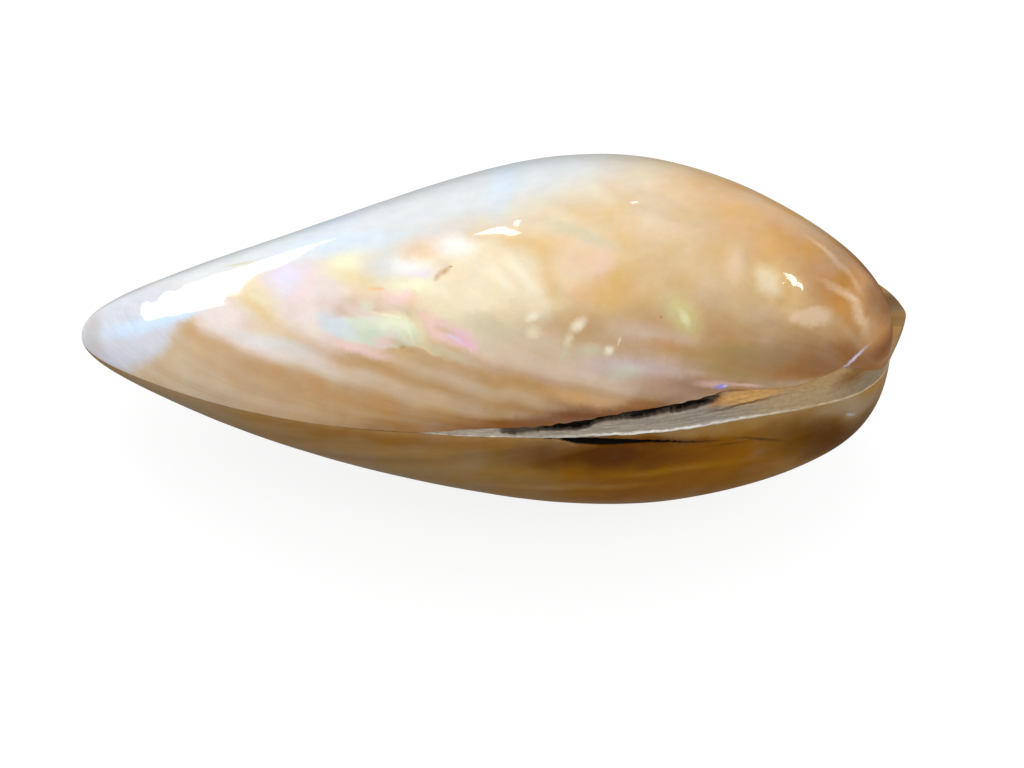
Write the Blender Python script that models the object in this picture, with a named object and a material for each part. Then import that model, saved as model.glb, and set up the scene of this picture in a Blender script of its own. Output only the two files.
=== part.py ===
"""A closed, polished bivalve shell, lying on its lower valve.

Two hollow valves meet along their rims, and a fibrous ligament fills the long gap between their hinge edges.
Each of the three starts as a UV sphere. Its poles become the two tips, its meridians run from tip to tip, and
its rings become cross-sections.

In the shell's own frame X runs from the hind tip to the beaks, the hinge faces -Y and the rims meet at Z = 0.
The finished shell is turned so that it lies on the small flat at the bottom of its lower valve. The origin is
on that flat's plane, below the middle of the shell's box.
"""

import math
from dataclasses import dataclass

import bmesh
import bpy
import numpy as np
from mathutils import Matrix

# Overall sizes in metres. Half widths and half thicknesses are those of the outside of the shell at seven
# stations from the hind tip to the beaks, divided by the sine that rounds off both ends, so an ellipsoid
# would have the same number at each station.
LENGTH = 0.115
HALF_WIDTHS = (0.0200, 0.0204, 0.0238, 0.0283, 0.0285, 0.0311, 0.0420)
HALF_THICKNESSES = (0.0087, 0.0099, 0.0146, 0.0219, 0.0280, 0.0291, 0.0296)
MID_LINE = (-0.0011, -0.0011, -0.0012, 0.0023, 0.0032, -0.0001, -0.0006)

# How far the crown leans towards the hinge, as a share of the half width, at four stations, and how steeply
# the section rises from its two edges: 1 is an ellipse, and more is flatter sides.
LEAN = (0.04, 0.10, 0.26, 0.46)
HINGE_FULLNESS = 1.27
GAPE_FULLNESS = 1.35

# Below the beaks the lower valve reaches past the upper one, on the side away from the hinge.
OVERHANG = 0.0033
OVERHANG_POWER = 4
OVERHANG_SIDE = -0.006
OVERHANG_SPREAD = 0.010

# The hollow is the outside, shrunk and moved back a little, so the wall is heaviest at the beaks.
SIDE_WALL = 0.0027
CROWN_WALL = 0.0027
HIND_WALL = 0.0026
BEAK_WALL = 0.0070
MEAN_HALF_WIDTH = 0.0290
MEAN_HALF_THICKNESS = 0.0255

# The rims stay this far apart. The outer hinge edges part further, and leave a wedge for the ligament.
RIM_GAP = 0.0003
HINGE_GAP = 0.0045
HINGE_GAP_START = -0.011
HINGE_GAP_RISE = 0.043
HINGE_GAP_FALL = 0.008
HINGE_GAP_END = 0.057
MOST_LIFT = 0.9

# The ligament is a bowed wedge with a torn groove along the first part of its upper edge.
LIGAMENT_START = 0.0
LIGAMENT_END = 0.0553
LIGAMENT_DEPTH = 0.0022
LIGAMENT_NARROWING = 0.88
LIGAMENT_CLEARANCE = 0.0004
LIGAMENT_INSET = 0.0002
LIGAMENT_CROWN = 0.0004
GROOVE_START = -0.006
GROOVE_END = 0.030
GROOVE_DEPTH = 0.0014

# How the shell lies: the turns about Y and X that bring its centre of mass over the flat, and how much of
# the rounded underside the flat takes off.
REST_PITCH = math.radians(-4.0)
REST_ROLL = math.radians(-14.0)
FLAT_DEPTH = 0.0005

STATIONS = 56
OUTSIDE_STEPS = 22
HOLLOW_STEPS = 12
LIGAMENT_STATIONS = 36
SHARP_ANGLE = math.radians(45)

# Points round the ligament's section: height from -1 at the lower edge to 1 at the upper, depth from 0 at
# the outer face to 1 at the inner, and how far the point sinks into the groove.
LIGAMENT_SECTION = (
    (-1.0, 0.0, 0.0),
    (-0.35, 0.0, 0.0),
    (0.10, 0.0, 0.0),
    (0.30, 0.0, 1.0),
    (0.70, 0.0, 1.0),
    (1.0, 0.0, 0.6),
    (1.0, 1.0, 0.0),
    (0.33, 1.0, 0.0),
    (-0.33, 1.0, 0.0),
    (-1.0, 1.0, 0.0),
)


@dataclass(frozen=True)
class Valve:
    """One half of the shell: side is 1 for the upper valve and -1 for the lower."""

    name: str
    side: int
    overhang: float


@dataclass(frozen=True)
class Fit:
    """How a surface sits in the shell: its scale along each axis, its move along X, and whether its edge
    parts from the other valve's along the hinge."""

    x: float
    y: float
    z: float
    move: float
    parts: bool


OUTSIDE = Fit(1.0, 1.0, 1.0, 0.0, True)
HOLLOW = Fit(
    1.0 - (HIND_WALL + BEAK_WALL) / LENGTH,
    1.0 - SIDE_WALL / MEAN_HALF_WIDTH,
    1.0 - CROWN_WALL / MEAN_HALF_THICKNESS,
    0.5 * (HIND_WALL - BEAK_WALL),
    False,
)
UPPER = Valve("upper_valve", 1, 0.0)
LOWER = Valve("lower_valve", -1, OVERHANG)


def curve_through(values):
    """A smooth curve through values at stations from -1, the hind tip, to 1, the beaks."""
    stations = -np.cos(np.linspace(0.0, np.pi, len(values)))
    return np.polynomial.Polynomial.fit(stations, values, len(values) - 1, domain=[-1, 1])


WIDTH_CURVE = curve_through(HALF_WIDTHS)
THICKNESS_CURVE = curve_through(HALF_THICKNESSES)
MID_CURVE = curve_through(MID_LINE)
LEAN_CURVE = curve_through(LEAN)


def ease(share):
    """0 to 1 with a level start and end."""
    share = min(max(share, 0.0), 1.0)
    return share * share * (3.0 - 2.0 * share)


def hinge_lift(x):
    """Half of the extra gap between the hinge edges at x metres along the shell."""
    rise = ease((x - HINGE_GAP_START) / HINGE_GAP_RISE)
    fall = ease((HINGE_GAP_END - x) / HINGE_GAP_FALL)
    return 0.5 * HINGE_GAP * rise * fall


def section(t, fit):
    """The cross-section of a surface at t, from -1 at the hind tip to 1 at the beaks: its x, its middle in Y,
    its half width and its half thickness."""
    rounding = math.sqrt(max(1.0 - t * t, 0.0))
    x = fit.move + fit.x * 0.5 * LENGTH * t
    half_width = fit.y * rounding * WIDTH_CURVE(t)
    half_thickness = fit.z * rounding * THICKNESS_CURVE(t)
    return x, fit.y * MID_CURVE(t), half_width, half_thickness


def dome_point(valve, t, share, fit=OUTSIDE):
    """A point of a valve's outside or hollow. share runs round the section, from 0 at the hinge edge to 1 at
    the gape edge."""
    x, middle, half_width, half_thickness = section(t, fit)
    lift = min(hinge_lift(x), MOST_LIFT * half_thickness) if fit.parts else 0.0
    start = 0.0
    if lift > 0.0:
        start = math.asin((lift / half_thickness) ** (1.0 / HINGE_FULLNESS))
    angle = start + (math.pi - start) * share
    across = math.sin(angle / 2.0) ** 2
    fullness = HINGE_FULLNESS * (1.0 - across) + GAPE_FULLNESS * across
    sine = max(math.sin(angle), 0.0)
    y = middle - half_width * (math.cos(angle) + LEAN_CURVE(t) * sine * sine)
    z = lift if share == 0.0 else half_thickness * sine**fullness
    x += valve.overhang * ((1.0 + t) / 2.0) ** OVERHANG_POWER * ease((y - OVERHANG_SIDE) / OVERHANG_SPREAD)
    return x, y, valve.side * (0.5 * RIM_GAP + z)


def reshaped_sphere(round_steps, stations, place):
    """A closed mesh from a UV sphere. place gives the new point of the vertex at a step round the sphere and
    at t, its height from -1 to 1."""
    mesh = bmesh.new()
    bmesh.ops.create_uvsphere(mesh, u_segments=round_steps, v_segments=stations, radius=1.0)
    for vertex in mesh.verts:
        turn = math.atan2(vertex.co.y, vertex.co.x) / (2.0 * math.pi)
        step = round(turn * round_steps) % round_steps
        vertex.co = place(step, min(max(vertex.co.z, -1.0), 1.0))
    if mesh.calc_volume(signed=True) < 0.0:
        bmesh.ops.reverse_faces(mesh, faces=mesh.faces)
    return mesh


def valve_mesh(valve):
    """A hollow valve: its outside, its flat rim along the gape, its hollow, and its rim along the hinge."""
    steps = OUTSIDE_STEPS + 1 + HOLLOW_STEPS + 1

    def place(step, t):
        if step <= OUTSIDE_STEPS:
            return dome_point(valve, t, step / OUTSIDE_STEPS)
        return dome_point(valve, t, (steps - 1 - step) / HOLLOW_STEPS, HOLLOW)

    return reshaped_sphere(steps, STATIONS, place)


def groove_depth(x):
    """How deep the torn groove is at x metres along the shell."""
    middle = 0.5 * (GROOVE_START + GROOVE_END)
    half_length = 0.5 * (GROOVE_END - GROOVE_START)
    return GROOVE_DEPTH * ease(1.0 - ((x - middle) / half_length) ** 2)


def ligament_mesh():
    """The strip between the two hinge edges."""
    middle = 0.5 * (LIGAMENT_START + LIGAMENT_END)
    half_length = 0.5 * (LIGAMENT_END - LIGAMENT_START)

    def place(step, t):
        height, inner, sink = LIGAMENT_SECTION[step]
        x = middle + half_length * t
        half_height = max(hinge_lift(x) + 0.5 * RIM_GAP - LIGAMENT_CLEARANCE, 0.0)
        edge = dome_point(UPPER, 2.0 * x / LENGTH, 0.0)[1]
        face = LIGAMENT_INSET - LIGAMENT_CROWN * (1.0 - height * height) + sink * groove_depth(x)
        depth = inner * LIGAMENT_DEPTH + (1.0 - inner) * face
        narrowing = 1.0 - LIGAMENT_NARROWING * depth / LIGAMENT_DEPTH
        return x, edge + depth, half_height * height * narrowing

    return reshaped_sphere(len(LIGAMENT_SECTION), LIGAMENT_STATIONS, place)


def polished_material(name, colour, roughness, coat):
    """A Principled material: polished shell has a clear coat, the ligament has none."""
    material = bpy.data.materials.new(name)
    material.use_nodes = True
    shader = material.node_tree.nodes["Principled BSDF"]
    shader.inputs["Base Color"].default_value = (*colour, 1.0)
    shader.inputs["Roughness"].default_value = roughness
    shader.inputs["Metallic"].default_value = 0.0
    shader.inputs["Coat Weight"].default_value = coat
    material.diffuse_color = (*colour, 1.0)
    return material


def lie_down(meshes):
    """Turns the shell as it lies, cuts the flat and centres the shell over the origin."""
    turn = Matrix.Rotation(REST_ROLL, 4, "X") @ Matrix.Rotation(REST_PITCH, 4, "Y")
    for mesh in meshes:
        bmesh.ops.transform(mesh, matrix=turn, verts=mesh.verts)
    points = np.array([vertex.co for mesh in meshes for vertex in mesh.verts])
    low = points.min(axis=0)
    high = points.max(axis=0)
    centre = 0.5 * (low + high)
    drop = Matrix.Translation((-centre[0], -centre[1], -low[2] - FLAT_DEPTH))
    for mesh in meshes:
        bmesh.ops.transform(mesh, matrix=drop, verts=mesh.verts)
        for vertex in mesh.verts:
            vertex.co.z = max(vertex.co.z, 0.0)


def add_object(name, mesh, material):
    """An object of this name in the scene, made from the mesh and shaded smooth up to its sharp rims."""
    data = bpy.data.meshes.new(name)
    mesh.to_mesh(data)
    mesh.free()
    data.shade_smooth()
    data.set_sharp_from_angle(angle=SHARP_ANGLE)
    data.materials.append(material)
    bpy.context.scene.collection.objects.link(bpy.data.objects.new(name, data))


def main():
    for old in list(bpy.data.objects):
        bpy.data.objects.remove(old, do_unlink=True)
    upper = valve_mesh(UPPER)
    lower = valve_mesh(LOWER)
    ligament = ligament_mesh()
    lie_down((upper, lower, ligament))
    add_object(UPPER.name, upper, polished_material("upper_nacre", (0.66, 0.48, 0.31), 0.22, 1.0))
    add_object(LOWER.name, lower, polished_material("lower_nacre", (0.25, 0.15, 0.07), 0.22, 1.0))
    add_object("ligament", ligament, polished_material("ligament_fibre", (0.42, 0.37, 0.30), 0.7, 0.0))


main()
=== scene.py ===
"""A closed, polished bivalve shell that lies on its lower valve, with its fibrous ligament.

Each valve is rebuilt finely from the rule that its solid follows, and is then given its low relief: growth
ridges, hammered nacre, a pit, wrinkles below the beak and the crack under the hinge. The colours are painted
in shell coordinates, which every mesh carries as the attribute "skin": millimetres along the shell, then
millimetres round the section from the hinge (height, on the ligament), then the flow that streaks follow.
"""

import logging
import math
from collections.abc import Callable, Sequence
from dataclasses import dataclass, field
from enum import Enum

import bmesh
import bpy
import numpy as np
from mathutils import Matrix, Quaternion, Vector, noise


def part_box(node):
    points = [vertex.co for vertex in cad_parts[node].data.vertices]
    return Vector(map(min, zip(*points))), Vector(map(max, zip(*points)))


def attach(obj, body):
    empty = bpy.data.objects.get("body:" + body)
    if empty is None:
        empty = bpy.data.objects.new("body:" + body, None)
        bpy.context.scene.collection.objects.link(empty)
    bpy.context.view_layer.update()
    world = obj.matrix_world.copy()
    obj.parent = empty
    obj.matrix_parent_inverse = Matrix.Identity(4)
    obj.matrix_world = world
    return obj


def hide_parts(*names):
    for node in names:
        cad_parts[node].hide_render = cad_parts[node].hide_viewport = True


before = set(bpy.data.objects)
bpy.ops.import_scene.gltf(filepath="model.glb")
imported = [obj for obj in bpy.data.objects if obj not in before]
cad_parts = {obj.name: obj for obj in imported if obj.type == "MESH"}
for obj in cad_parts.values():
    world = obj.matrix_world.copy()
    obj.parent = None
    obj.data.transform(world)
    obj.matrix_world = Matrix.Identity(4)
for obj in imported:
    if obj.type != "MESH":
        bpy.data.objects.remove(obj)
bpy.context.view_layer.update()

LOG = logging.getLogger("clam_shell")
MM = 0.001
SHARP_ANGLE = math.radians(40)
TINY = 1e-9

# Streaks and ribbons read the flow in tenths. A noise's colour is at middle grey on average, and most of its
# values lie in the noise span. A bump of height 1 stands out by the bump's reach, in metres.
FLOW_UNIT = 0.1
MIDDLE_GREY = (0.5, 0.5, 0.5)
NOISE_SPAN = (0.3, 0.7)
BUMP_REACH = 0.0002
FULL_WHITE = (1.0, 1.0, 1.0, 1.0)

Span = tuple[float, float]
Triple = tuple[float, float, float]
Pairs = tuple[Span, ...]


class Tint(Enum):
    """The colours of nacre, ligament and studio as they look in plain light, in 8-bit sRGB."""

    WHITE = (254, 254, 254)
    PEARL = (222, 229, 233)
    SKY = (206, 228, 252)
    MIST = (212, 214, 224)
    IVORY = (252, 244, 218)
    CREAM = (246, 230, 194)
    EGGSHELL = (234, 219, 188)
    STRAW = (236, 218, 168)
    LEMON = (248, 246, 204)
    SAND = (228, 198, 150)
    PEACH = (240, 206, 164)
    APRICOT = (242, 192, 136)
    BLUSH = (238, 222, 216)
    ROSE = (248, 206, 200)
    MAGENTA = (246, 192, 208)
    LILAC = (228, 222, 244)
    MAUVE = (198, 160, 138)
    VIOLET = (150, 150, 250)
    MINT = (216, 226, 202)
    LAGOON = (210, 221, 227)
    LIME = (220, 214, 144)
    SAGE = (212, 202, 168)
    OLIVE = (174, 142, 78)
    GOLD = (226, 184, 112)
    HONEY = (222, 170, 98)
    CARAMEL = (204, 146, 74)
    OAT = (216, 190, 154)
    FAWN = (204, 180, 146)
    TAN = (194, 148, 92)
    TOFFEE = (160, 106, 50)
    RUST = (132, 74, 28)
    BROWN = (140, 94, 46)
    TAUPE = (182, 146, 100)
    KHAKI = (176, 138, 84)
    AMBER = (156, 98, 4)
    MAROON = (104, 58, 18)
    UMBER = (92, 56, 20)
    BARK = (60, 36, 18)
    # black: painted shade in the crack, and partly dark fibre, partly painted shade in the ligament's torn
    # groove
    SHADE_AND_FIBRE_BLACK = (20, 18, 16)
    CHARCOAL = (66, 58, 50)
    STONE = (176, 164, 142)
    ASH = (170, 158, 142)
    BONE = (196, 184, 166)
    CHALK = (254, 250, 242)
    BEIGE = (206, 178, 134)
    ORANGE = (226, 174, 108)

    def linear(self) -> tuple[float, float, float, float]:
        """Turns the colour into linear light.

        Returns:
            Red, green, blue and a full alpha.
        """
        parts = [value / 255.0 for value in self.value]
        straight = [p / 12.92 if p <= 0.04045 else ((p + 0.055) / 1.055) ** 2.4 for p in parts]
        return (straight[0], straight[1], straight[2], 1.0)


def ease(share: np.ndarray | float) -> np.ndarray:
    """0 to 1 with a level start and end."""
    share = np.clip(share, 0.0, 1.0)
    return share * share * (3.0 - 2.0 * share)


def window(x: np.ndarray | float, start: float, rise: float, end: float, fall: float) -> np.ndarray:
    """1 between two ends, eased to 0 at both.

    Args:
        x: Where it is read.
        start: Where it starts to rise.
        rise: How long the rise is.
        end: Where it is 0 again.
        fall: How long the fall is.

    Returns:
        The value at each x.
    """
    return ease((x - start) / rise) * ease((end - x) / fall)


def smooth_curve(points: Pairs, x: np.ndarray) -> np.ndarray:
    """A smooth curve through points, level outside them.

    Args:
        points: The points, in order of their first number.
        x: Where the curve is read.

    Returns:
        The curve's height at each x.
    """
    knots = np.array(points, float)
    place = np.clip(np.asarray(x, float), knots[0, 0], knots[-1, 0])
    slopes = np.gradient(knots[:, 1], knots[:, 0])
    slopes[0] = slopes[-1] = 0.0
    index = np.clip(np.searchsorted(knots[:, 0], place) - 1, 0, len(knots) - 2)
    gap = knots[index + 1, 0] - knots[index, 0]
    s = (place - knots[index, 0]) / gap
    start, end = knots[index, 1], knots[index + 1, 1]
    rise = ease(s)
    lead = s * (1.0 - s) ** 2 * gap * slopes[index]
    trail = s * s * (s - 1.0) * gap * slopes[index + 1]
    return start + (end - start) * rise + lead + trail


@dataclass(frozen=True)
class Fit:
    """How a surface sits in the shell: its scale along each axis and its move along X in metres."""

    x: float = 1.0
    y: float = 1.0
    z: float = 1.0
    move: float = 0.0


@dataclass(frozen=True)
class ShellForm:
    """The rule that both valves follow, in metres, in the shell's own frame.

    X runs from the hind tip to the beaks, the hinge faces -Y and the rims meet at Z = 0.
    """

    length: float = 0.115
    half_widths: tuple[float, ...] = (0.0200, 0.0204, 0.0238, 0.0283, 0.0285, 0.0311, 0.0420)
    half_thicknesses: tuple[float, ...] = (0.0087, 0.0099, 0.0146, 0.0219, 0.0280, 0.0291, 0.0296)
    mid_line: tuple[float, ...] = (-0.0011, -0.0011, -0.0012, 0.0023, 0.0032, -0.0001, -0.0006)
    lean: tuple[float, ...] = (0.04, 0.10, 0.26, 0.46)
    hinge_fullness: float = 1.27
    gape_fullness: float = 1.35
    rim_gap: float = 0.00006
    overhang_power: float = 4.0
    overhang_side: float = -0.006
    overhang_spread: float = 0.010
    arc_samples: int = 700
    most_lift: float = 0.9

    @staticmethod
    def through(values: Sequence[float], t: np.ndarray) -> np.ndarray:
        """Reads the smooth curve through values at even-cosine stations from -1 to 1.

        Args:
            values: The values, from the hind end to the beak end.
            t: Where the curve is read.

        Returns:
            The curve's value at each t.
        """
        stations = -np.cos(np.linspace(0.0, np.pi, len(values)))
        curve = np.polynomial.Polynomial.fit(stations, values, len(values) - 1, domain=[-1, 1])
        return curve(t)

    def half_thickness(self, t: np.ndarray, fit: Fit) -> np.ndarray:
        """The half thickness of a surface at t."""
        rounding = np.sqrt(np.clip(1.0 - t * t, 0.0, None))
        return fit.z * rounding * self.through(self.half_thicknesses, t)

    def start_angle(self, t: np.ndarray, lift: np.ndarray) -> np.ndarray:
        """Finds where the outside has risen by a given height above the rim.

        Args:
            t: Stations from -1 to 1.
            lift: The height at each station, in metres.

        Returns:
            The section angle at each station.
        """
        height = np.maximum(self.half_thickness(t, Fit()), TINY)
        share = np.clip(lift / height, 0.0, self.most_lift)
        return np.arcsin(share ** (1.0 / self.hinge_fullness))

    def surface(self, t: np.ndarray, angle: np.ndarray, side: int, overhang: float, fit: Fit) -> np.ndarray:
        """Points of a valve's outside or hollow.

        Args:
            t: Station, from -1 at the hind tip to 1 at the beaks.
            angle: Section angle, from 0 at the hinge to pi at the gape.
            side: 1 for the upper valve and -1 for the lower.
            overhang: How far the valve reaches past the beaks on its gape side.
            fit: How the surface sits in the shell.

        Returns:
            The points, with the three coordinates last.
        """
        rounding = np.sqrt(np.clip(1.0 - t * t, 0.0, None))
        half_width = fit.y * rounding * self.through(self.half_widths, t)
        middle = fit.y * self.through(self.mid_line, t)
        across = np.sin(angle / 2.0) ** 2
        fullness = self.hinge_fullness * (1.0 - across) + self.gape_fullness * across
        sine = np.clip(np.sin(angle), 0.0, None)
        y = middle - half_width * (np.cos(angle) + self.through(self.lean, t) * sine * sine)
        z = self.half_thickness(t, fit) * sine**fullness
        reach = overhang * ((1.0 + t) / 2.0) ** self.overhang_power
        x = fit.move + fit.x * 0.5 * self.length * t
        x = x + reach * ease((y - self.overhang_side) / self.overhang_spread)
        return np.stack([x, y, side * (0.5 * self.rim_gap + z)], axis=-1)

    def arcs(self, t: np.ndarray, angle: np.ndarray) -> tuple[np.ndarray, np.ndarray]:
        """Lengths round the outside, from the rim on the hinge side.

        Args:
            t: Stations, one a row.
            angle: Section angles, a row of them for each station.

        Returns:
            The length at each angle, and each row's whole length from rim to rim.
        """
        steps = np.linspace(0.0, np.pi, self.arc_samples)
        points = self.surface(t, np.broadcast_to(steps, (len(t), len(steps))), 1, 0.0, Fit())
        pieces = np.linalg.norm(np.diff(points[..., 1:], axis=1), axis=-1)
        sums = np.concatenate([np.zeros((len(t), 1)), np.cumsum(pieces, axis=1)], axis=1)
        found = np.array([np.interp(row, steps, total) for row, total in zip(angle, sums)])
        return found, sums[:, -1:]


FORM = ShellForm()


@dataclass(frozen=True)
class Rest:
    """How the finished shell lies: the turns that bring its centre of mass over its small flat, in degrees,
    and the shift that puts it where its solids are, found from a grid of samples."""

    pitch: float = -4.0
    roll: float = -14.0
    samples: int = 400

    def turn(self) -> Matrix:
        """The turn from the shell's own frame to the row frame."""
        roll = Matrix.Rotation(math.radians(self.roll), 4, "X")
        return roll @ Matrix.Rotation(math.radians(self.pitch), 4, "Y")

    def matrix(self) -> Matrix:
        """Matches the two valves' tops, sides and ends to the boxes of their solids.

        Returns:
            The turn and the shift together.
        """
        steps = np.linspace(0.0, np.pi, self.samples)
        t = -np.cos(steps)[:, None]
        angle = np.broadcast_to(steps, (self.samples, self.samples))
        turn = np.array(self.turn().to_3x3())
        upper = FORM.surface(t, angle, 1, 0.0, Fit()).reshape(-1, 3) @ turn.T
        lower = FORM.surface(t, angle, -1, Valve.LOWER_OVERHANG, Fit()).reshape(-1, 3) @ turn.T
        low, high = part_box(Valve.UPPER_NODE)
        shift_z = high.z - upper[:, 2].max()
        shift_y = 0.5 * (high.y + low.y) - 0.5 * (upper[:, 1].max() + upper[:, 1].min())
        low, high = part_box(Valve.LOWER_NODE)
        shift_x = 0.5 * (high.x + low.x) - 0.5 * (lower[:, 0].max() + lower[:, 0].min())
        return Matrix.Translation((shift_x, shift_y, shift_z)) @ self.turn()


def reshaped_sphere(rounds: int, stations: int, points: np.ndarray, skin: np.ndarray,
                    share: np.ndarray, sink: np.ndarray) -> bmesh.types.BMesh:
    """A closed mesh from a UV sphere whose meridians run along the shell.

    Args:
        rounds: The steps round a section.
        stations: The steps from tip to tip.
        points: The place of each vertex, by station from the beak end, then by step.
        skin: The shell coordinates of each vertex, laid out as points is.
        share: How far each vertex is from the hinge edge to the gape edge, from 0 to 1.
        sink: How deep each vertex lies in a crack or a torn groove, from 0 to 1.

    Returns:
        The mesh, with its vertex layers "skin", "share" and "sink" and its faces turned outwards.
    """
    mesh = bmesh.new()
    bmesh.ops.create_uvsphere(mesh, u_segments=rounds, v_segments=stations, radius=1.0)
    layer = mesh.verts.layers.float_vector.new("skin")
    part = mesh.verts.layers.float.new("share")
    depth = mesh.verts.layers.float.new("sink")
    for vertex in mesh.verts:
        station = round(math.acos(min(max(vertex.co.z, -1.0), 1.0)) / math.pi * stations)
        step = round(math.atan2(vertex.co.y, vertex.co.x) / (2.0 * math.pi) * rounds) % rounds
        vertex[layer] = skin[station, step]
        vertex[part] = share[station, step]
        vertex[depth] = sink[station, step]
        vertex.co = points[station, step]
    if mesh.calc_volume(signed=True) < 0.0:
        bmesh.ops.reverse_faces(mesh, faces=mesh.faces)
    mesh.normal_update()
    return mesh


def finished_object(name: str, mesh: bmesh.types.BMesh, material: bpy.types.Material) -> bpy.types.Object:
    """Lays the mesh down as the shell lies and makes its object.

    Args:
        name: The object's name.
        mesh: The mesh in the shell's own frame, which is freed.
        material: The material of all its faces.

    Returns:
        The object, at the origin, in the scene.
    """
    bmesh.ops.transform(mesh, matrix=Rest().matrix(), verts=mesh.verts)
    for vertex in mesh.verts:
        vertex.co.z = max(vertex.co.z, 0.0)
    data = bpy.data.meshes.new(name)
    mesh.to_mesh(data)
    mesh.free()
    data.shade_smooth()
    data.set_sharp_from_angle(angle=SHARP_ANGLE)
    data.materials.append(material)
    piece = bpy.data.objects.new(name, data)
    bpy.context.scene.collection.objects.link(piece)
    return piece


class Graph:
    """A shader node tree that calls build: each method adds a node and gives its output."""

    def __init__(self, tree: bpy.types.NodeTree) -> None:
        """Works on this tree."""
        self.tree = tree

    def node(self, kind: str, **settings: object) -> bpy.types.Node:
        """Adds a node.

        Args:
            kind: The node's type.
            **settings: The node's own settings, by name.

        Returns:
            The node.
        """
        made = self.tree.nodes.new(kind)
        for name, value in settings.items():
            setattr(made, name, value)
        return made

    def feed(self, target: bpy.types.NodeSocket, source: object) -> None:
        """Links an output to the socket, or sets the socket's own value.

        Args:
            target: The socket.
            source: An output or a plain value, or None for the value that the socket has.
        """
        if isinstance(source, bpy.types.NodeSocket):
            self.tree.links.new(source, target)
        elif source is not None:
            target.default_value = source

    def math(self, operation: str, first: object, second: object = None) -> bpy.types.NodeSocket:
        """Adds a Math node.

        Args:
            operation: What it does.
            first: Its first input.
            second: Its second input, where it has one.

        Returns:
            Its output.
        """
        made = self.node("ShaderNodeMath", operation=operation)
        self.feed(made.inputs[0], first)
        self.feed(made.inputs[1], second)
        return made.outputs[0]

    def vector(self, operation: str, first: object, second: object = None) -> bpy.types.NodeSocket:
        """Adds a Vector Math node.

        Args:
            operation: What it does.
            first: Its first input.
            second: Its second input, where it has one.

        Returns:
            Its output: a value for a length, and a vector for the rest.
        """
        made = self.node("ShaderNodeVectorMath", operation=operation)
        self.feed(made.inputs[0], first)
        self.feed(made.inputs[1], second)
        return made.outputs["Value"] if operation == "LENGTH" else made.outputs["Vector"]

    def split(self, vector: bpy.types.NodeSocket) -> bpy.types.bpy_prop_collection:
        """Takes a vector apart.

        Args:
            vector: The vector.

        Returns:
            Its three parts.
        """
        made = self.node("ShaderNodeSeparateXYZ")
        self.feed(made.inputs[0], vector)
        return made.outputs

    def join(self, x: object, y: object, z: object) -> bpy.types.NodeSocket:
        """Puts a vector together.

        Args:
            x: Its first part.
            y: Its second part.
            z: Its third part.

        Returns:
            The vector.
        """
        made = self.node("ShaderNodeCombineXYZ")
        for socket, value in zip(made.inputs, (x, y, z)):
            self.feed(socket, value)
        return made.outputs[0]

    def noise(self, place: object, scale: object, detail: float = 2.0, rough: float = 0.5) -> bpy.types.Node:
        """Adds a Noise Texture node.

        Args:
            place: Where the noise is read.
            scale: How many waves to a unit.
            detail: How many finer layers it has.
            rough: How strong the finer layers are.

        Returns:
            The node, with outputs Fac and Color.
        """
        made = self.node("ShaderNodeTexNoise")
        self.feed(made.inputs["Vector"], place)
        self.feed(made.inputs["Scale"], scale)
        made.inputs["Detail"].default_value = detail
        made.inputs["Roughness"].default_value = rough
        return made

    def attribute(self, name: str, output: str) -> bpy.types.NodeSocket:
        """Reads one of the mesh's own attributes.

        Args:
            name: The attribute's name.
            output: Vector for a vector, and Fac for a value.

        Returns:
            What it says at each point.
        """
        return self.node("ShaderNodeAttribute", attribute_name=name).outputs[output]

    def shake(self, place: object, scale: float, detail: float, reach: Triple) -> bpy.types.NodeSocket:
        """Makes a move that changes from place to place.

        Args:
            place: Where the noise is read.
            scale: How many waves to a unit.
            detail: How many finer layers it has.
            reach: How far the move goes along each axis, from end to end.

        Returns:
            The move.
        """
        colour = self.noise(place, scale, detail).outputs["Color"]
        return self.vector("MULTIPLY", self.vector("SUBTRACT", colour, MIDDLE_GREY), reach)

    def bump(self, shader: bpy.types.Node, height: object, strength: float) -> None:
        """Bends the shader's normal by a height.

        Args:
            shader: The shader.
            height: The height at each point.
            strength: How much of it shows.
        """
        made = self.node("ShaderNodeBump")
        made.inputs["Strength"].default_value = strength
        made.inputs["Distance"].default_value = BUMP_REACH
        self.feed(made.inputs["Height"], height)
        self.feed(shader.inputs["Normal"], made.outputs["Normal"])

    def remap(self, value: object, start: object, end: object, low: object = 0.0, high: object = 1.0,
              smooth: bool = True) -> bpy.types.NodeSocket:
        """Carries a value from one range into another, and holds it there.

        Args:
            value: The value.
            start: Where the first range starts.
            end: Where the first range ends.
            low: Where the second range starts.
            high: Where the second range ends.
            smooth: Whether the way between the ends is eased.

        Returns:
            The carried value.
        """
        made = self.node("ShaderNodeMapRange", clamp=True)
        made.interpolation_type = "SMOOTHSTEP" if smooth else "LINEAR"
        for name, given in (("Value", value), ("From Min", start), ("From Max", end), ("To Min", low),
                            ("To Max", high)):
            self.feed(made.inputs[name], given)
        return made.outputs["Result"]

    def mix(self, factor: object, first: object, second: object, blend: str = "MIX") -> bpy.types.NodeSocket:
        """Mixes two colours.

        Args:
            factor: How much of the second shows.
            first: The first colour.
            second: The second colour.
            blend: How they are mixed.

        Returns:
            The mixed colour.
        """
        made = self.node("ShaderNodeMix", data_type="RGBA", blend_type=blend)
        self.feed(made.inputs["Factor"], factor)
        self.feed(made.inputs[6], first)
        self.feed(made.inputs[7], second)
        return made.outputs[2]

    def group(self, tree: bpy.types.NodeTree, **inputs: object) -> bpy.types.NodeSocket:
        """Adds a group node.

        Args:
            tree: The group.
            **inputs: What its inputs are given, by name.

        Returns:
            Its first output.
        """
        made = self.node("ShaderNodeGroup", node_tree=tree)
        for name, given in inputs.items():
            self.feed(made.inputs[name], given)
        return made.outputs[0]


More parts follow.
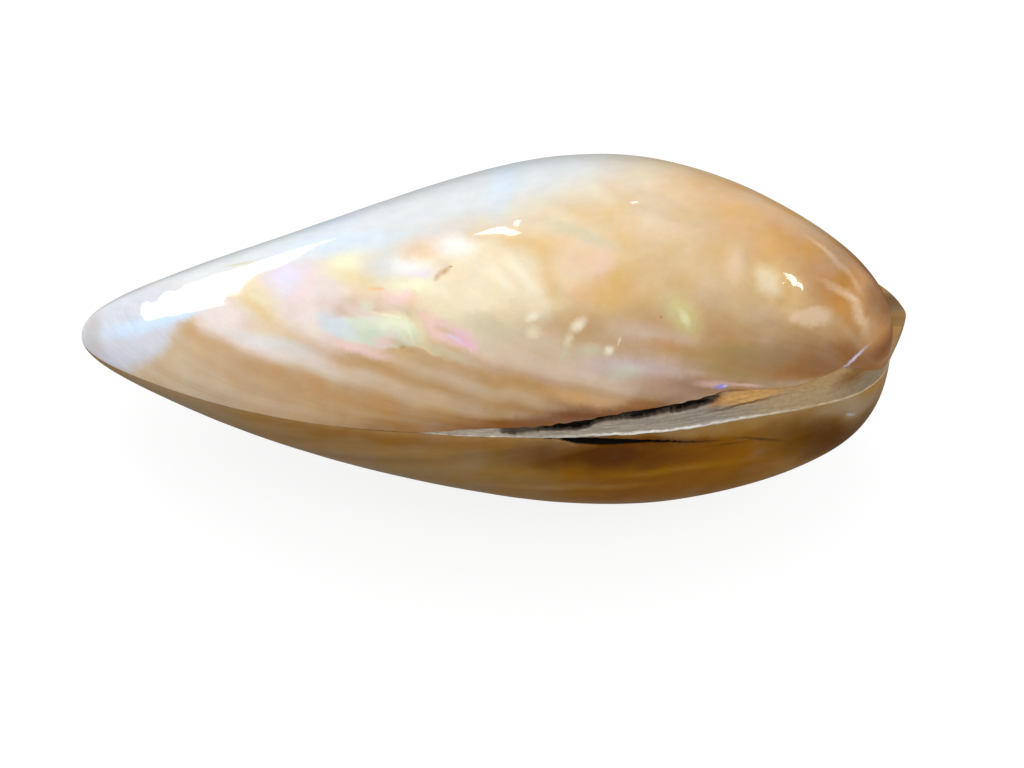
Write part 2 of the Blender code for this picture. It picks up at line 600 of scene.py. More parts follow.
def new_material(name: str) -> tuple[bpy.types.Material, Graph, bpy.types.Node]:
    """Makes a material.

    Args:
        name: Its name.

    Returns:
        The material, its tree and its shader.
    """
    material = bpy.data.materials.new(name)
    material.use_nodes = True
    return material, Graph(material.node_tree), material.node_tree.nodes["Principled BSDF"]


Sockets = tuple[tuple[str, str], ...]
Given = dict[str, bpy.types.NodeSocket]
COLOUR, VALUE, VECTOR = "NodeSocketColor", "NodeSocketFloat", "NodeSocketVector"


def effect(name: str, takes: Sockets, gives: tuple[str, str],
           build: Callable[[Graph, Given], bpy.types.NodeSocket]) -> bpy.types.NodeTree:
    """A shader node group.

    Args:
        name: The group's name.
        takes: The name and type of each input.
        gives: The name and type of its output.
        build: Adds the nodes between them, from the inputs by name, and returns the result.

    Returns:
        The group.
    """
    tree = bpy.data.node_groups.new(name, "ShaderNodeTree")
    for socket, kind in takes:
        tree.interface.new_socket(name=socket, in_out="INPUT", socket_type=kind)
    tree.interface.new_socket(name=gives[0], in_out="OUTPUT", socket_type=gives[1])
    graph = Graph(tree)
    entry = graph.node("NodeGroupInput")
    result = build(graph, {socket: entry.outputs[socket] for socket, _ in takes})
    leaving = graph.node("NodeGroupOutput")
    graph.feed(leaving.inputs[gives[0]], result)
    return tree


class Effects:
    """The node groups that the finishes share, each built once. A noise has a detail and a roughness."""

    BAND_NOISE = (1.5, 0.45)
    FIBRE_NOISE = (5.0, 0.65)

    def __init__(self) -> None:
        """Builds the groups."""
        self.patch = effect(
            "soft_patch",
            (("Paint", COLOUR), ("Tint", COLOUR), ("Place", VECTOR), ("Centre", VECTOR), ("Reach", VECTOR),
             ("Turn", VALUE), ("Softness", VALUE), ("Strength", VALUE)),
            ("Paint", COLOUR), self._patch)
        self.bands = effect(
            "growth_bands",
            (("Place", VECTOR), ("Scale", VALUE), ("Stretch", VALUE), ("Low", VALUE), ("High", VALUE)),
            ("Mask", VALUE), self._bands)
        self.fibre = effect(
            "fibre",
            (("Place", VECTOR), ("Scale", VALUE), ("Stretch", VALUE)),
            ("Height", VALUE), self._fibre)

    @staticmethod
    def _patch(graph: Graph, given: Given) -> bpy.types.NodeSocket:
        """Mixes a tint into the paint inside an ellipse with soft edges.

        Args:
            graph: The tree to work on.
            given: The inputs of the group, by name.

        Returns:
            The paint with the tint in it.
        """
        offset = graph.vector("SUBTRACT", given["Place"], given["Centre"])
        turned = graph.node("ShaderNodeVectorRotate", rotation_type="Z_AXIS")
        graph.feed(turned.inputs["Vector"], offset)
        graph.feed(turned.inputs["Angle"], graph.math("MULTIPLY", given["Turn"], -1.0))
        away = graph.vector("LENGTH", graph.vector("DIVIDE", turned.outputs[0], given["Reach"]))
        mask = graph.remap(away, graph.math("SUBTRACT", 1.0, given["Softness"]),
                           graph.math("ADD", 1.0, given["Softness"]), 1.0, 0.0)
        return graph.mix(graph.math("MULTIPLY", mask, given["Strength"]), given["Paint"], given["Tint"])

    @staticmethod
    def _bands(graph: Graph, given: Given) -> bpy.types.NodeSocket:
        """Draws streaks that follow the flow: noise across it, drawn out along the shell.

        Args:
            graph: The tree to work on.
            given: The inputs of the group, by name.

        Returns:
            1 in a streak and 0 outside it.
        """
        x, _, flow = graph.split(given["Place"])[:3]
        across = graph.math("MULTIPLY", flow, given["Scale"])
        along = graph.math("MULTIPLY", x, given["Stretch"])
        streaks = graph.noise(graph.join(across, along, 0.0), 1.0, *Effects.BAND_NOISE)
        return graph.remap(streaks.outputs["Fac"], given["Low"], given["High"])

    @staticmethod
    def _fibre(graph: Graph, given: Given) -> bpy.types.NodeSocket:
        """Draws torn fibres that run along the ligament.

        Args:
            graph: The tree to work on.
            given: The inputs of the group, by name.

        Returns:
            The height of the fibres, from 0 to 1.
        """
        x, y, z = graph.split(given["Place"])[:3]
        along = graph.math("MULTIPLY", x, given["Stretch"])
        return graph.noise(graph.join(along, y, z), given["Scale"], *Effects.FIBRE_NOISE).outputs["Fac"]


@dataclass(frozen=True)
class Patch:
    """A patch of colour: its centre, half length and half width in millimetres, its turn in degrees, how soft
    its edge is and how much of it shows."""

    tint: Tint
    x: float
    arc: float
    length: float
    width: float
    turn: float = 0.0
    soft: float = 0.5
    strength: float = 1.0

    def over(self, graph: Graph, effects: Effects, paint: object,
             place: bpy.types.NodeSocket) -> bpy.types.NodeSocket:
        """Lays this patch over the paint.

        Args:
            graph: The tree to work on.
            effects: The shared node groups.
            paint: The paint under the patch.
            place: Where each point of the surface is, in millimetres.

        Returns:
            The paint with this patch on it.
        """
        return graph.group(effects.patch, Paint=paint, Tint=self.tint.linear(), Place=place,
                           Centre=(self.x, self.arc, 0.0), Reach=(self.length, self.width, 1.0),
                           Turn=math.radians(self.turn), Softness=self.soft, Strength=self.strength)


def laid(patches: tuple[Patch, ...], graph: Graph, effects: Effects, paint: object,
         place: bpy.types.NodeSocket) -> object:
    """Lays patches over the paint, one after another.

    Args:
        patches: The patches, the lowest first.
        graph: The tree to work on.
        effects: The shared node groups.
        paint: The paint under them.
        place: Where each point of the surface is, in millimetres.

    Returns:
        The paint with the patches on it.
    """
    for patch in patches:
        paint = patch.over(graph, effects, paint, place)
    return paint


@dataclass(frozen=True)
class Streak:
    """A family of bands of one colour along the flow of the shell: how many to a unit of flow, how much they
    change along the shell, the part of the noise that shows, how much of it, and where the noise starts."""

    tint: Tint
    scale: float
    stretch: float
    low: float
    high: float
    strength: float
    start: float = 0.0


@dataclass(frozen=True)
class Nacre:
    """Polished mother-of-pearl: a painted ground with broad fields, streaks and ribbons along the flow, grown
    patches and crisp marks, under a clear coat that is worn away in the dull places. A ribbon is a patch that
    is placed by its flow, in tenths, in place of its arc. A noise of three numbers has a scale, a detail and
    a roughness, and reads from its start."""

    name: str
    ground: Tint
    fields: tuple[Patch, ...]
    streaks: tuple[Streak, ...]
    ribbons: tuple[Patch, ...]
    patches: tuple[Patch, ...]
    marks: tuple[Patch, ...]
    dull: tuple[Patch, ...]
    metallic: float
    roughness: float
    coat: float
    coat_ior: float = 1.5
    coat_roughness: float = 0.05
    specular: float = 0.5
    wander_noises: Pairs = ((0.16, 1.0), (0.6, 2.0), (1.7, 2.0))
    field_wander: Triple = (2.6, 0.6, 0.2)
    patch_wander: Triple = (0.9, 0.5, 0.3)
    mark_wander: Triple = (0.15, 0.15, 0.25)
    ribbon_noise: Span = (0.14, 1.0)
    ribbon_reach: Triple = (10.0, 6.0, 0.0)
    cloud_noise: Triple = (0.35, 5.0, 0.58)
    cloud_span: Span = (0.25, 0.75)
    cloud_tone: Span = (0.93, 1.05)
    drift_noise: Triple = (0.2, 2.0, 0.5)
    drift_start: Triple = (40.0, 0.0, 0.0)
    richness: Span = (0.84, 1.08)
    opal_noise: Triple = (0.26, 2.0, 0.5)
    opal_start: Triple = (0.0, 70.0, 0.0)
    opal_depth: float = 0.22
    opal_floor: float = 0.89
    opal_share: float = 0.4
    crack_shade: Span = (0.15, 0.55)
    worn_sink: float = 0.3
    grain_noise: Triple = (0.9, 4.0, 0.6)
    smoother: float = 0.06
    rougher: float = 0.08
    lamella_scale: float = 6.0
    lamella_stretch: float = 0.05
    lamella_span: Span = (0.2, 0.8)
    lamella_height: float = 0.4
    bump_strength: float = 0.25
    # painted shade: the paint darkens towards the gape side, as where the shell turns away from the light
    far_painted_shade: float = 0.55
    far_start: float = 0.48
    far_end: float = 0.72
    far_slant: float = 0.0022
    far_wear: float = 1.8
    far_worn: float = 0.92

    def material(self, effects: Effects) -> bpy.types.Material:
        """Builds the material.

        Args:
            effects: The shared node groups.

        Returns:
            The material.
        """
        material, graph, shader = new_material(self.name)
        skin = graph.attribute("skin", "Vector")
        sink = graph.attribute("sink", "Fac")
        marked = self._wandering(graph, skin, self.mark_wander)
        far = self._gape_side_shade_and_wear(graph, skin)
        paint = self._painted(graph, effects, skin, marked, sink)
        # painted shade: darkens the paint towards the gape side
        tone = graph.remap(far, 0.0, 1.0, 1.0, self.far_painted_shade, False)
        graph.feed(shader.inputs["Base Color"], graph.mix(1.0, paint, tone, "MULTIPLY"))
        shader.inputs["Metallic"].default_value = self.metallic
        shader.inputs["Specular IOR Level"].default_value = self.specular
        shader.inputs["Coat Roughness"].default_value = self.coat_roughness
        shader.inputs["Coat IOR"].default_value = self.coat_ior
        worn = laid(self.dull, graph, effects, graph.remap(sink, 0.0, self.worn_sink), marked)
        lost = graph.math("MINIMUM", graph.math("MULTIPLY", far, self.far_wear), self.far_worn)
        gloss = graph.math("MULTIPLY", graph.math("SUBTRACT", 1.0, lost), self.coat)
        gloss = graph.math("MULTIPLY", graph.math("SUBTRACT", 1.0, worn), gloss)
        graph.feed(shader.inputs["Coat Weight"], gloss)
        grain = graph.noise(skin, *self.grain_noise).outputs["Fac"]
        rough = graph.remap(grain, *NOISE_SPAN, self.roughness - self.smoother,
                            self.roughness + self.rougher, False)
        graph.feed(shader.inputs["Roughness"], graph.math("MAXIMUM", rough, worn))
        self._bump(graph, effects, skin, grain, shader)
        return material

    def _painted(self, graph: Graph, effects: Effects, skin: bpy.types.NodeSocket,
                 marked: bpy.types.NodeSocket, sink: bpy.types.NodeSocket) -> bpy.types.NodeSocket:
        """Paints everything: the ground, the patches, the clouds, the marks and the painted shade in the
        crack.

        Args:
            graph: The tree to work on.
            effects: The shared node groups.
            skin: The shell coordinates.
            marked: The shell coordinates, made to wander a little for the crisp marks.
            sink: How deep each place lies in the crack, from 0 to 1.

        Returns:
            The paint.
        """
        paint = self._ground(graph, effects, skin)
        place = self._wandering(graph, skin, self.patch_wander)
        paint = laid(self.patches, graph, effects, paint, place)
        paint = self._clouded(graph, skin, paint)
        paint = laid(self.marks, graph, effects, paint, marked)
        # painted shade: the crack is painted black where it sinks
        return graph.mix(graph.remap(sink, *self.crack_shade), paint, Tint.SHADE_AND_FIBRE_BLACK.linear())

    def _ground(self, graph: Graph, effects: Effects, skin: bpy.types.NodeSocket) -> object:
        """Paints the ground with its broad fields, its streaks and its ribbons.

        Args:
            graph: The tree to work on.
            effects: The shared node groups.
            skin: The shell coordinates.

        Returns:
            The paint.
        """
        place = self._wandering(graph, skin, self.field_wander)
        paint = laid(self.fields, graph, effects, self.ground.linear(), place)
        for streak in self.streaks:
            moved = graph.vector("ADD", skin, (0.0, 0.0, streak.start))
            mask = graph.group(effects.bands, Place=moved, Scale=streak.scale, Stretch=streak.stretch,
                               Low=streak.low, High=streak.high)
            paint = graph.mix(graph.math("MULTIPLY", mask, streak.strength), paint, streak.tint.linear())
        x, _, flow = graph.split(skin)[:3]
        stream = graph.join(x, graph.math("MULTIPLY", flow, 1.0 / FLOW_UNIT), 0.0)
        shake = graph.shake(graph.join(x, 0.0, flow), *self.ribbon_noise, self.ribbon_reach)
        return laid(self.ribbons, graph, effects, paint, graph.vector("ADD", stream, shake))

    def _wandering(self, graph: Graph, skin: bpy.types.NodeSocket, amounts: Triple) -> bpy.types.NodeSocket:
        """Makes the shell coordinates wander, so that the edges of patches look grown.

        Args:
            graph: The tree to work on.
            skin: The shell coordinates.
            amounts: How far they wander in long, middling and short waves, in millimetres.

        Returns:
            The place along the shell and round it, in millimetres.
        """
        x, arc = graph.split(skin)[:2]
        flat = graph.join(x, arc, 0.0)
        place = flat
        for wave, amount in zip(self.wander_noises, amounts):
            shake = graph.shake(flat, *wave, (2.0 * amount, 2.0 * amount, 0.0))
            place = graph.vector("ADD", place, shake)
        return place

    def _gape_side_shade_and_wear(self, graph: Graph, skin: bpy.types.NodeSocket) -> bpy.types.NodeSocket:
        """Finds the half of the valve towards the gape, which is duller and is darkened by a painted shade.

        Args:
            graph: The tree to work on.
            skin: The shell coordinates.

        Returns:
            0 on the hinge's half and 1 towards the gape.
        """
        share = graph.attribute("share", "Fac")
        x = graph.split(skin)[0]
        return graph.remap(graph.math("ADD", share, graph.math("MULTIPLY", x, self.far_slant)),
                           self.far_start, self.far_end)

    def _clouded(self, graph: Graph, skin: bpy.types.NodeSocket, paint: object) -> bpy.types.NodeSocket:
        """Makes the paint a little lighter and darker, and richer and paler, from place to place.

        Args:
            graph: The tree to work on.
            skin: The shell coordinates.
            paint: The plain paint.

        Returns:
            The clouded paint.
        """
        x, arc = graph.split(skin)[:2]
        flat = graph.join(x, arc, 0.0)
        cloud = graph.noise(flat, *self.cloud_noise).outputs["Fac"]
        drift = graph.noise(graph.vector("ADD", flat, self.drift_start), *self.drift_noise).outputs["Fac"]
        tone = graph.node("ShaderNodeHueSaturation")
        graph.feed(tone.inputs["Value"], graph.remap(cloud, *self.cloud_span, *self.cloud_tone, False))
        graph.feed(tone.inputs["Saturation"], graph.remap(drift, *self.cloud_span, *self.richness, False))
        graph.feed(tone.inputs["Color"], paint)
        glow = graph.noise(graph.vector("ADD", flat, self.opal_start), *self.opal_noise).outputs["Color"]
        glow = graph.vector("MULTIPLY", glow, (self.opal_depth,) * 3)
        opal = graph.vector("ADD", glow, (self.opal_floor,) * 3)
        return graph.mix(self.opal_share, tone.outputs["Color"], opal, "MULTIPLY")

    def _bump(self, graph: Graph, effects: Effects, skin: bpy.types.NodeSocket,
              grain: bpy.types.NodeSocket, shader: bpy.types.Node) -> None:
        """Adds fine lamellae along the flow, and a faint grain.

        Args:
            graph: The tree to work on.
            effects: The shared node groups.
            skin: The shell coordinates.
            grain: The noise that also changes the roughness.
            shader: The shader that takes the bump.
        """
        low, high = self.lamella_span
        lamella = graph.group(effects.bands, Place=skin, Scale=self.lamella_scale,
                              Stretch=self.lamella_stretch, Low=low, High=high)
        height = graph.math("ADD", graph.math("MULTIPLY", lamella, self.lamella_height), grain)
        graph.bump(shader, height, self.bump_strength)


@dataclass(frozen=True)
class Lump:
    """A low rise, or a dent where the height is below zero: its centre, half length, half width and height in
    millimetres, its turn in degrees, and the size of the wrinkles in it, or 0 for a plain one."""

    NOISE_LAYER = 3.0
    WRINKLE_GAIN = 2.0

    x: float
    arc: float
    length: float
    width: float
    height: float
    turn: float = 0.0
    wrinkle: float = 0.0

    def at(self, x: float, arc: float) -> float:
        """Finds the height of the lump at a place in shell coordinates.

        Args:
            x: Millimetres along the shell.
            arc: Millimetres round the section from the hinge.

        Returns:
            The height in millimetres.
        """
        turn = math.radians(self.turn)
        dx, dy = x - self.x, arc - self.arc
        along = (dx * math.cos(turn) + dy * math.sin(turn)) / self.length
        across = (dy * math.cos(turn) - dx * math.sin(turn)) / self.width
        away = along * along + across * across
        if away >= 1.0:
            return 0.0
        swell = self.height * (1.0 - away) ** 2
        if self.wrinkle:
            place = Vector((x / self.wrinkle, arc / self.wrinkle, self.NOISE_LAYER))
            swell *= noise.noise(place) * self.WRINKLE_GAIN
        return swell


@dataclass
class Valve:
    """One half of the shell, with its hollow, its wall and its low relief. Rates are waves to a millimetre,
    and each noise reads a layer of its own."""

    UPPER_NODE = "upper_valve"
    LOWER_NODE = "lower_valve"
    LOWER_OVERHANG = 0.0033
    TEAR_LAYER = 7.0
    CRACK_LAYER = 3.0
    SWAY_LAYER = 5.0

    node: str
    slot: str
    side: int
    overhang: float
    margin: Pairs
    finish: Nacre
    lumps: tuple[Lump, ...] = ()
    crack: Pairs = ()
    crack_width: Pairs = ()
    crack_depth: float = 0.7
    crack_rate: float = 0.8
    crack_sway: float = 0.12
    crack_least: float = 0.05
    crack_reach: float = 1.5
    crack_edge: float = 0.8
    torn: float = 0.0
    torn_rate: float = 0.9
    torn_end: float = 36.0
    torn_fade: float = 6.0
    side_wall: float = 0.0027
    crown_wall: float = 0.0027
    hind_wall: float = 0.0026
    beak_wall: float = 0.0070
    mean_half_width: float = 0.0290
    mean_half_thickness: float = 0.0255
    stations: int = 400
    outside_steps: int = 122
    hollow_steps: int = 20
    closeness: float = 0.35
    flow_along: Pairs = ((-58.0, -35.0), (-40.0, -21.0), (-20.0, -12.0), (0.0, 0.0), (20.0, 15.0),
                         (36.0, 33.0), (48.0, 46.0), (58.0, 74.0))
    flow_round: Pairs = ((0.0, 0.0), (3.0, 13.0), (6.0, 21.0), (10.0, 31.0), (15.0, 39.0), (20.0, 46.0),
                         (27.0, 64.0))
    ridge: float = 0.02
    ridge_rate: float = 2.5
    ridge_drift: float = 0.03
    sway: float = 0.05
    sway_rate: float = 0.11
    tip_fade: float = 0.06

    def _hollow(self) -> Fit:
        """Finds the hollow, which is the outside, shrunk and moved back a little.

        Returns:
            How the hollow sits in the shell.
        """
        return Fit(
            1.0 - (self.hind_wall + self.beak_wall) / FORM.length,
            1.0 - self.side_wall / self.mean_half_width,
            1.0 - self.crown_wall / self.mean_half_thickness,
            0.5 * (self.hind_wall - self.beak_wall),
        )

    def lift(self, x: np.ndarray) -> np.ndarray:
        """Finds how far this valve's hinge edge stands off the rim plane.

        Args:
            x: Places along the shell, in metres.

        Returns:
            The height at each place, in metres.
        """
        lift = smooth_curve(self.margin, x / MM)
        tear = np.array([noise.noise(Vector((float(v) / MM * self.torn_rate, self.TEAR_LAYER, 0.0)))
                         for v in x.ravel()])
        fade = ease((self.torn_end - x / MM) / self.torn_fade)
        ragged = self.torn * tear.reshape(x.shape) * np.clip(lift, 0.0, 1.0) * fade
        return np.clip(lift + ragged, 0.0, None) * MM

    def _layout(self) -> tuple[np.ndarray, np.ndarray, np.ndarray]:
        """Lays out the plain valve, without its relief.

        Returns:
            Its points, shell coordinates and shares, each by station and step.
        """
        t = np.cos(np.linspace(0.0, np.pi, self.stations + 1))[:, None]
        share = np.linspace(0.0, 1.0, self.outside_steps + 1)[None, :]
        share = share * (self.closeness + (1.0 - self.closeness) * share)
        start = FORM.start_angle(t, self.lift(t * 0.5 * FORM.length))
        angle = start + (np.pi - start) * share
        outside = FORM.surface(t, angle, self.side, self.overhang, Fit())
        back = np.linspace(np.pi, 0.0, self.hollow_steps + 1)
        inner = np.broadcast_to(back, (len(t), len(back)))
        hollow = FORM.surface(t, inner, self.side, self.overhang, self._hollow())
        arc, whole = FORM.arcs(t, angle)
        x = outside[..., 0] / MM
        plain_x = np.broadcast_to(t * 0.5 * FORM.length / MM, x.shape)
        swing = whole / MM / math.pi * np.sin(math.pi * arc / np.maximum(whole, TINY))
        flow = FLOW_UNIT * (smooth_curve(self.flow_along, plain_x) + smooth_curve(self.flow_round, swing))
        skin = np.stack([plain_x, arc / MM, flow], axis=-1)
        skin = np.concatenate([skin, np.repeat(skin[:, -1:], len(back), axis=1)], axis=1)
        points = np.concatenate([outside, hollow], axis=1)
        shares = np.concatenate([arc / np.maximum(whole, TINY), np.ones(inner.shape)], axis=1)
        return points, skin, shares

    def _cracked(self, skin: np.ndarray) -> np.ndarray:
        """Finds how deep each place lies in the crack.

        Args:
            skin: The shell coordinates, by station and step.

        Returns:
            The depth at each place, from 0 to 1.
        """
        if not self.crack:
            return np.zeros(skin.shape[:-1])
        x, arc = skin[..., 0], skin[..., 1]
        half = smooth_curve(self.crack_width, x)
        ragged = np.array([noise.noise(Vector((float(v) * self.crack_rate, self.CRACK_LAYER, 0.0)))
                           for v in x[:, 0]])[:, None]
        away = np.abs(arc - smooth_curve(self.crack, x) - self.crack_sway * ragged)
        away = away / np.maximum(half, self.crack_least)
        inside = (x > self.crack[0][0]) & (x < self.crack[-1][0])
        return np.where(inside, ease((self.crack_reach - away) / self.crack_edge), 0.0)

    def _relief(self, x: float, arc: float, flow: float, sink: float) -> float:
        """Finds the height of the low relief at a place in shell coordinates.

        Args:
            x: Millimetres along the shell.
            arc: Millimetres round the section from the hinge.
            flow: The flow, in tenths.
            sink: How deep the place lies in the crack, from 0 to 1.

        Returns:
            The height in millimetres.
        """
        rise = self.ridge * noise.noise(Vector((flow * self.ridge_rate, x * self.ridge_drift, 0.0)))
        rise += self.sway * noise.noise(Vector((x * self.sway_rate, arc * self.sway_rate, self.SWAY_LAYER)))
        return rise + sum(lump.at(x, arc) for lump in self.lumps) - self.crack_depth * sink

    def build(self, effects: Effects) -> bpy.types.Object:
        """Builds and dresses the valve.

        Args:
            effects: The shared node groups.

        Returns:
            The valve's object.
        """
        points, skin, share = self._layout()
        mesh = reshaped_sphere(points.shape[1], self.stations, points, skin, share, self._cracked(skin))
        place = mesh.verts.layers.float_vector["skin"]
        depth = mesh.verts.layers.float["sink"]
        moves = [vertex.normal * self._relief(*vertex[place], vertex[depth]) * MM * self._outer(vertex)
                 for vertex in mesh.verts]
        for vertex, move in zip(mesh.verts, moves):
            vertex.co += move
        piece = finished_object(self.node + "_shell", mesh, self.finish.material(effects))
        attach(piece, "root")
        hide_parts(self.node)
        return piece

    def _outer(self, vertex: bmesh.types.BMVert) -> float:
        """Finds whether a vertex may be moved by the relief.

        Args:
            vertex: The vertex.

        Returns:
            1 on the outside of the valve, and 0 at its tips and in its hollow.
        """
        reach = abs(vertex.co.x) / (0.5 * FORM.length)
        outward = vertex.normal.dot(Vector((0.0, vertex.co.y, vertex.co.z))) > 0.0
        return float(ease((1.0 - reach) / self.tip_fade)) if outward else 0.0


@dataclass(frozen=True)
class Fibre:
    """Dry, torn ligament: painted in bands along the hinge, with fibres that run along it, dark in its torn
    groove, where the dark is partly black fibre and partly painted shade under the upper valve's edge. Its
    patches are placed by height off the rim plane, and its lips by height off its lower edge.
    Towards the beaks it is bare of fibres. Strands and fluff each have a scale and a stretch."""

    name: str
    ground: Tint
    patches: tuple[Patch, ...]
    lips: tuple[Patch, ...]
    roughness: float = 0.60
    smoother: float = 0.12
    rougher: float = 0.14
    specular: float = 0.15
    strand: Span = (2.4, 0.12)
    strand_spread: float = 1.1
    fluff: Span = (6.0, 0.3)
    fluff_share: float = 0.5
    bare_span: Span = (30.0, 44.0)
    bare_least: float = 0.40
    mottle_noise: Triple = (1.6, 4.0, 0.62)
    mottle_tone: Span = (0.86, 1.14)
    torn_span: Span = (0.38, 0.62)
    torn_tone: Span = (0.60, 1.30)
    dusk_span: Span = (0.06, 0.36)
    dusk_most: float = 0.85
    groove_black_span: Span = (0.42, 0.80)
    bump_strength: float = 0.6
    shake_noise: Span = (0.9, 3.0)
    shake_reach: Triple = (1.6, 0.5, 0.0)

    def material(self, effects: Effects) -> bpy.types.Material:
        """Builds the material.

        Args:
            effects: The shared node groups.

        Returns:
            The material.
        """
        material, graph, shader = new_material(self.name)
        skin = graph.attribute("skin", "Vector")
        sink = graph.attribute("sink", "Fac")
        strands = graph.group(effects.fibre, Place=skin, Scale=self.strand[0], Stretch=self.strand[1])
        fluff = graph.group(effects.fibre, Place=skin, Scale=self.fluff[0], Stretch=self.fluff[1])
        bare = graph.remap(graph.split(skin)[0], *self.bare_span, 1.0, self.bare_least)
        spread = graph.math("SUBTRACT", strands, MIDDLE_GREY[0])
        spread = graph.math("MULTIPLY", spread, graph.math("MULTIPLY", bare, self.strand_spread))
        mottle = graph.noise(skin, *self.mottle_noise).outputs["Fac"]
        mottle = graph.remap(mottle, *NOISE_SPAN, *self.mottle_tone, False)
        tone = graph.node("ShaderNodeHueSaturation")
        graph.feed(tone.inputs["Value"], graph.math("ADD", spread, mottle))
        graph.feed(tone.inputs["Color"], self._painted(graph, effects, skin))
        torn = graph.remap(strands, *self.torn_span, *self.torn_tone, False)
        torn = graph.math("MULTIPLY", sink, torn)
        # painted shade: the torn groove is darkened to charcoal and black, partly dark fibre and partly shade
        # under the upper valve's edge
        dusk = graph.remap(torn, *self.dusk_span, 0.0, self.dusk_most)
        paint = graph.mix(dusk, tone.outputs["Color"], Tint.CHARCOAL.linear())
        paint = graph.mix(graph.remap(torn, *self.groove_black_span), paint, Tint.SHADE_AND_FIBRE_BLACK.linear())
        graph.feed(shader.inputs["Base Color"], paint)
        shader.inputs["Specular IOR Level"].default_value = self.specular
        rough = graph.remap(fluff, *NOISE_SPAN, self.roughness - self.smoother,
                            self.roughness + self.rougher, False)
        graph.feed(shader.inputs["Roughness"], rough)
        coarse = graph.math("ADD", strands, graph.math("MULTIPLY", fluff, self.fluff_share))
        graph.bump(shader, graph.math("MULTIPLY", coarse, bare), self.bump_strength)
        return material

    def _painted(self, graph: Graph, effects: Effects, skin: bpy.types.NodeSocket) -> object:
        """Paints the ground, the patches and the lips.

        Args:
            graph: The tree to work on.
            effects: The shared node groups.
            skin: The ligament's coordinates.

        Returns:
            The paint.
        """
        x, height, above = graph.split(skin)[:3]
        shake = graph.shake(skin, *self.shake_noise, self.shake_reach)
        paint: object = self.ground.linear()
        for patches, up in ((self.patches, height), (self.lips, above)):
            place = graph.vector("ADD", graph.join(x, up, 0.0), shake)
            paint = laid(patches, graph, effects, paint, place)
        return paint


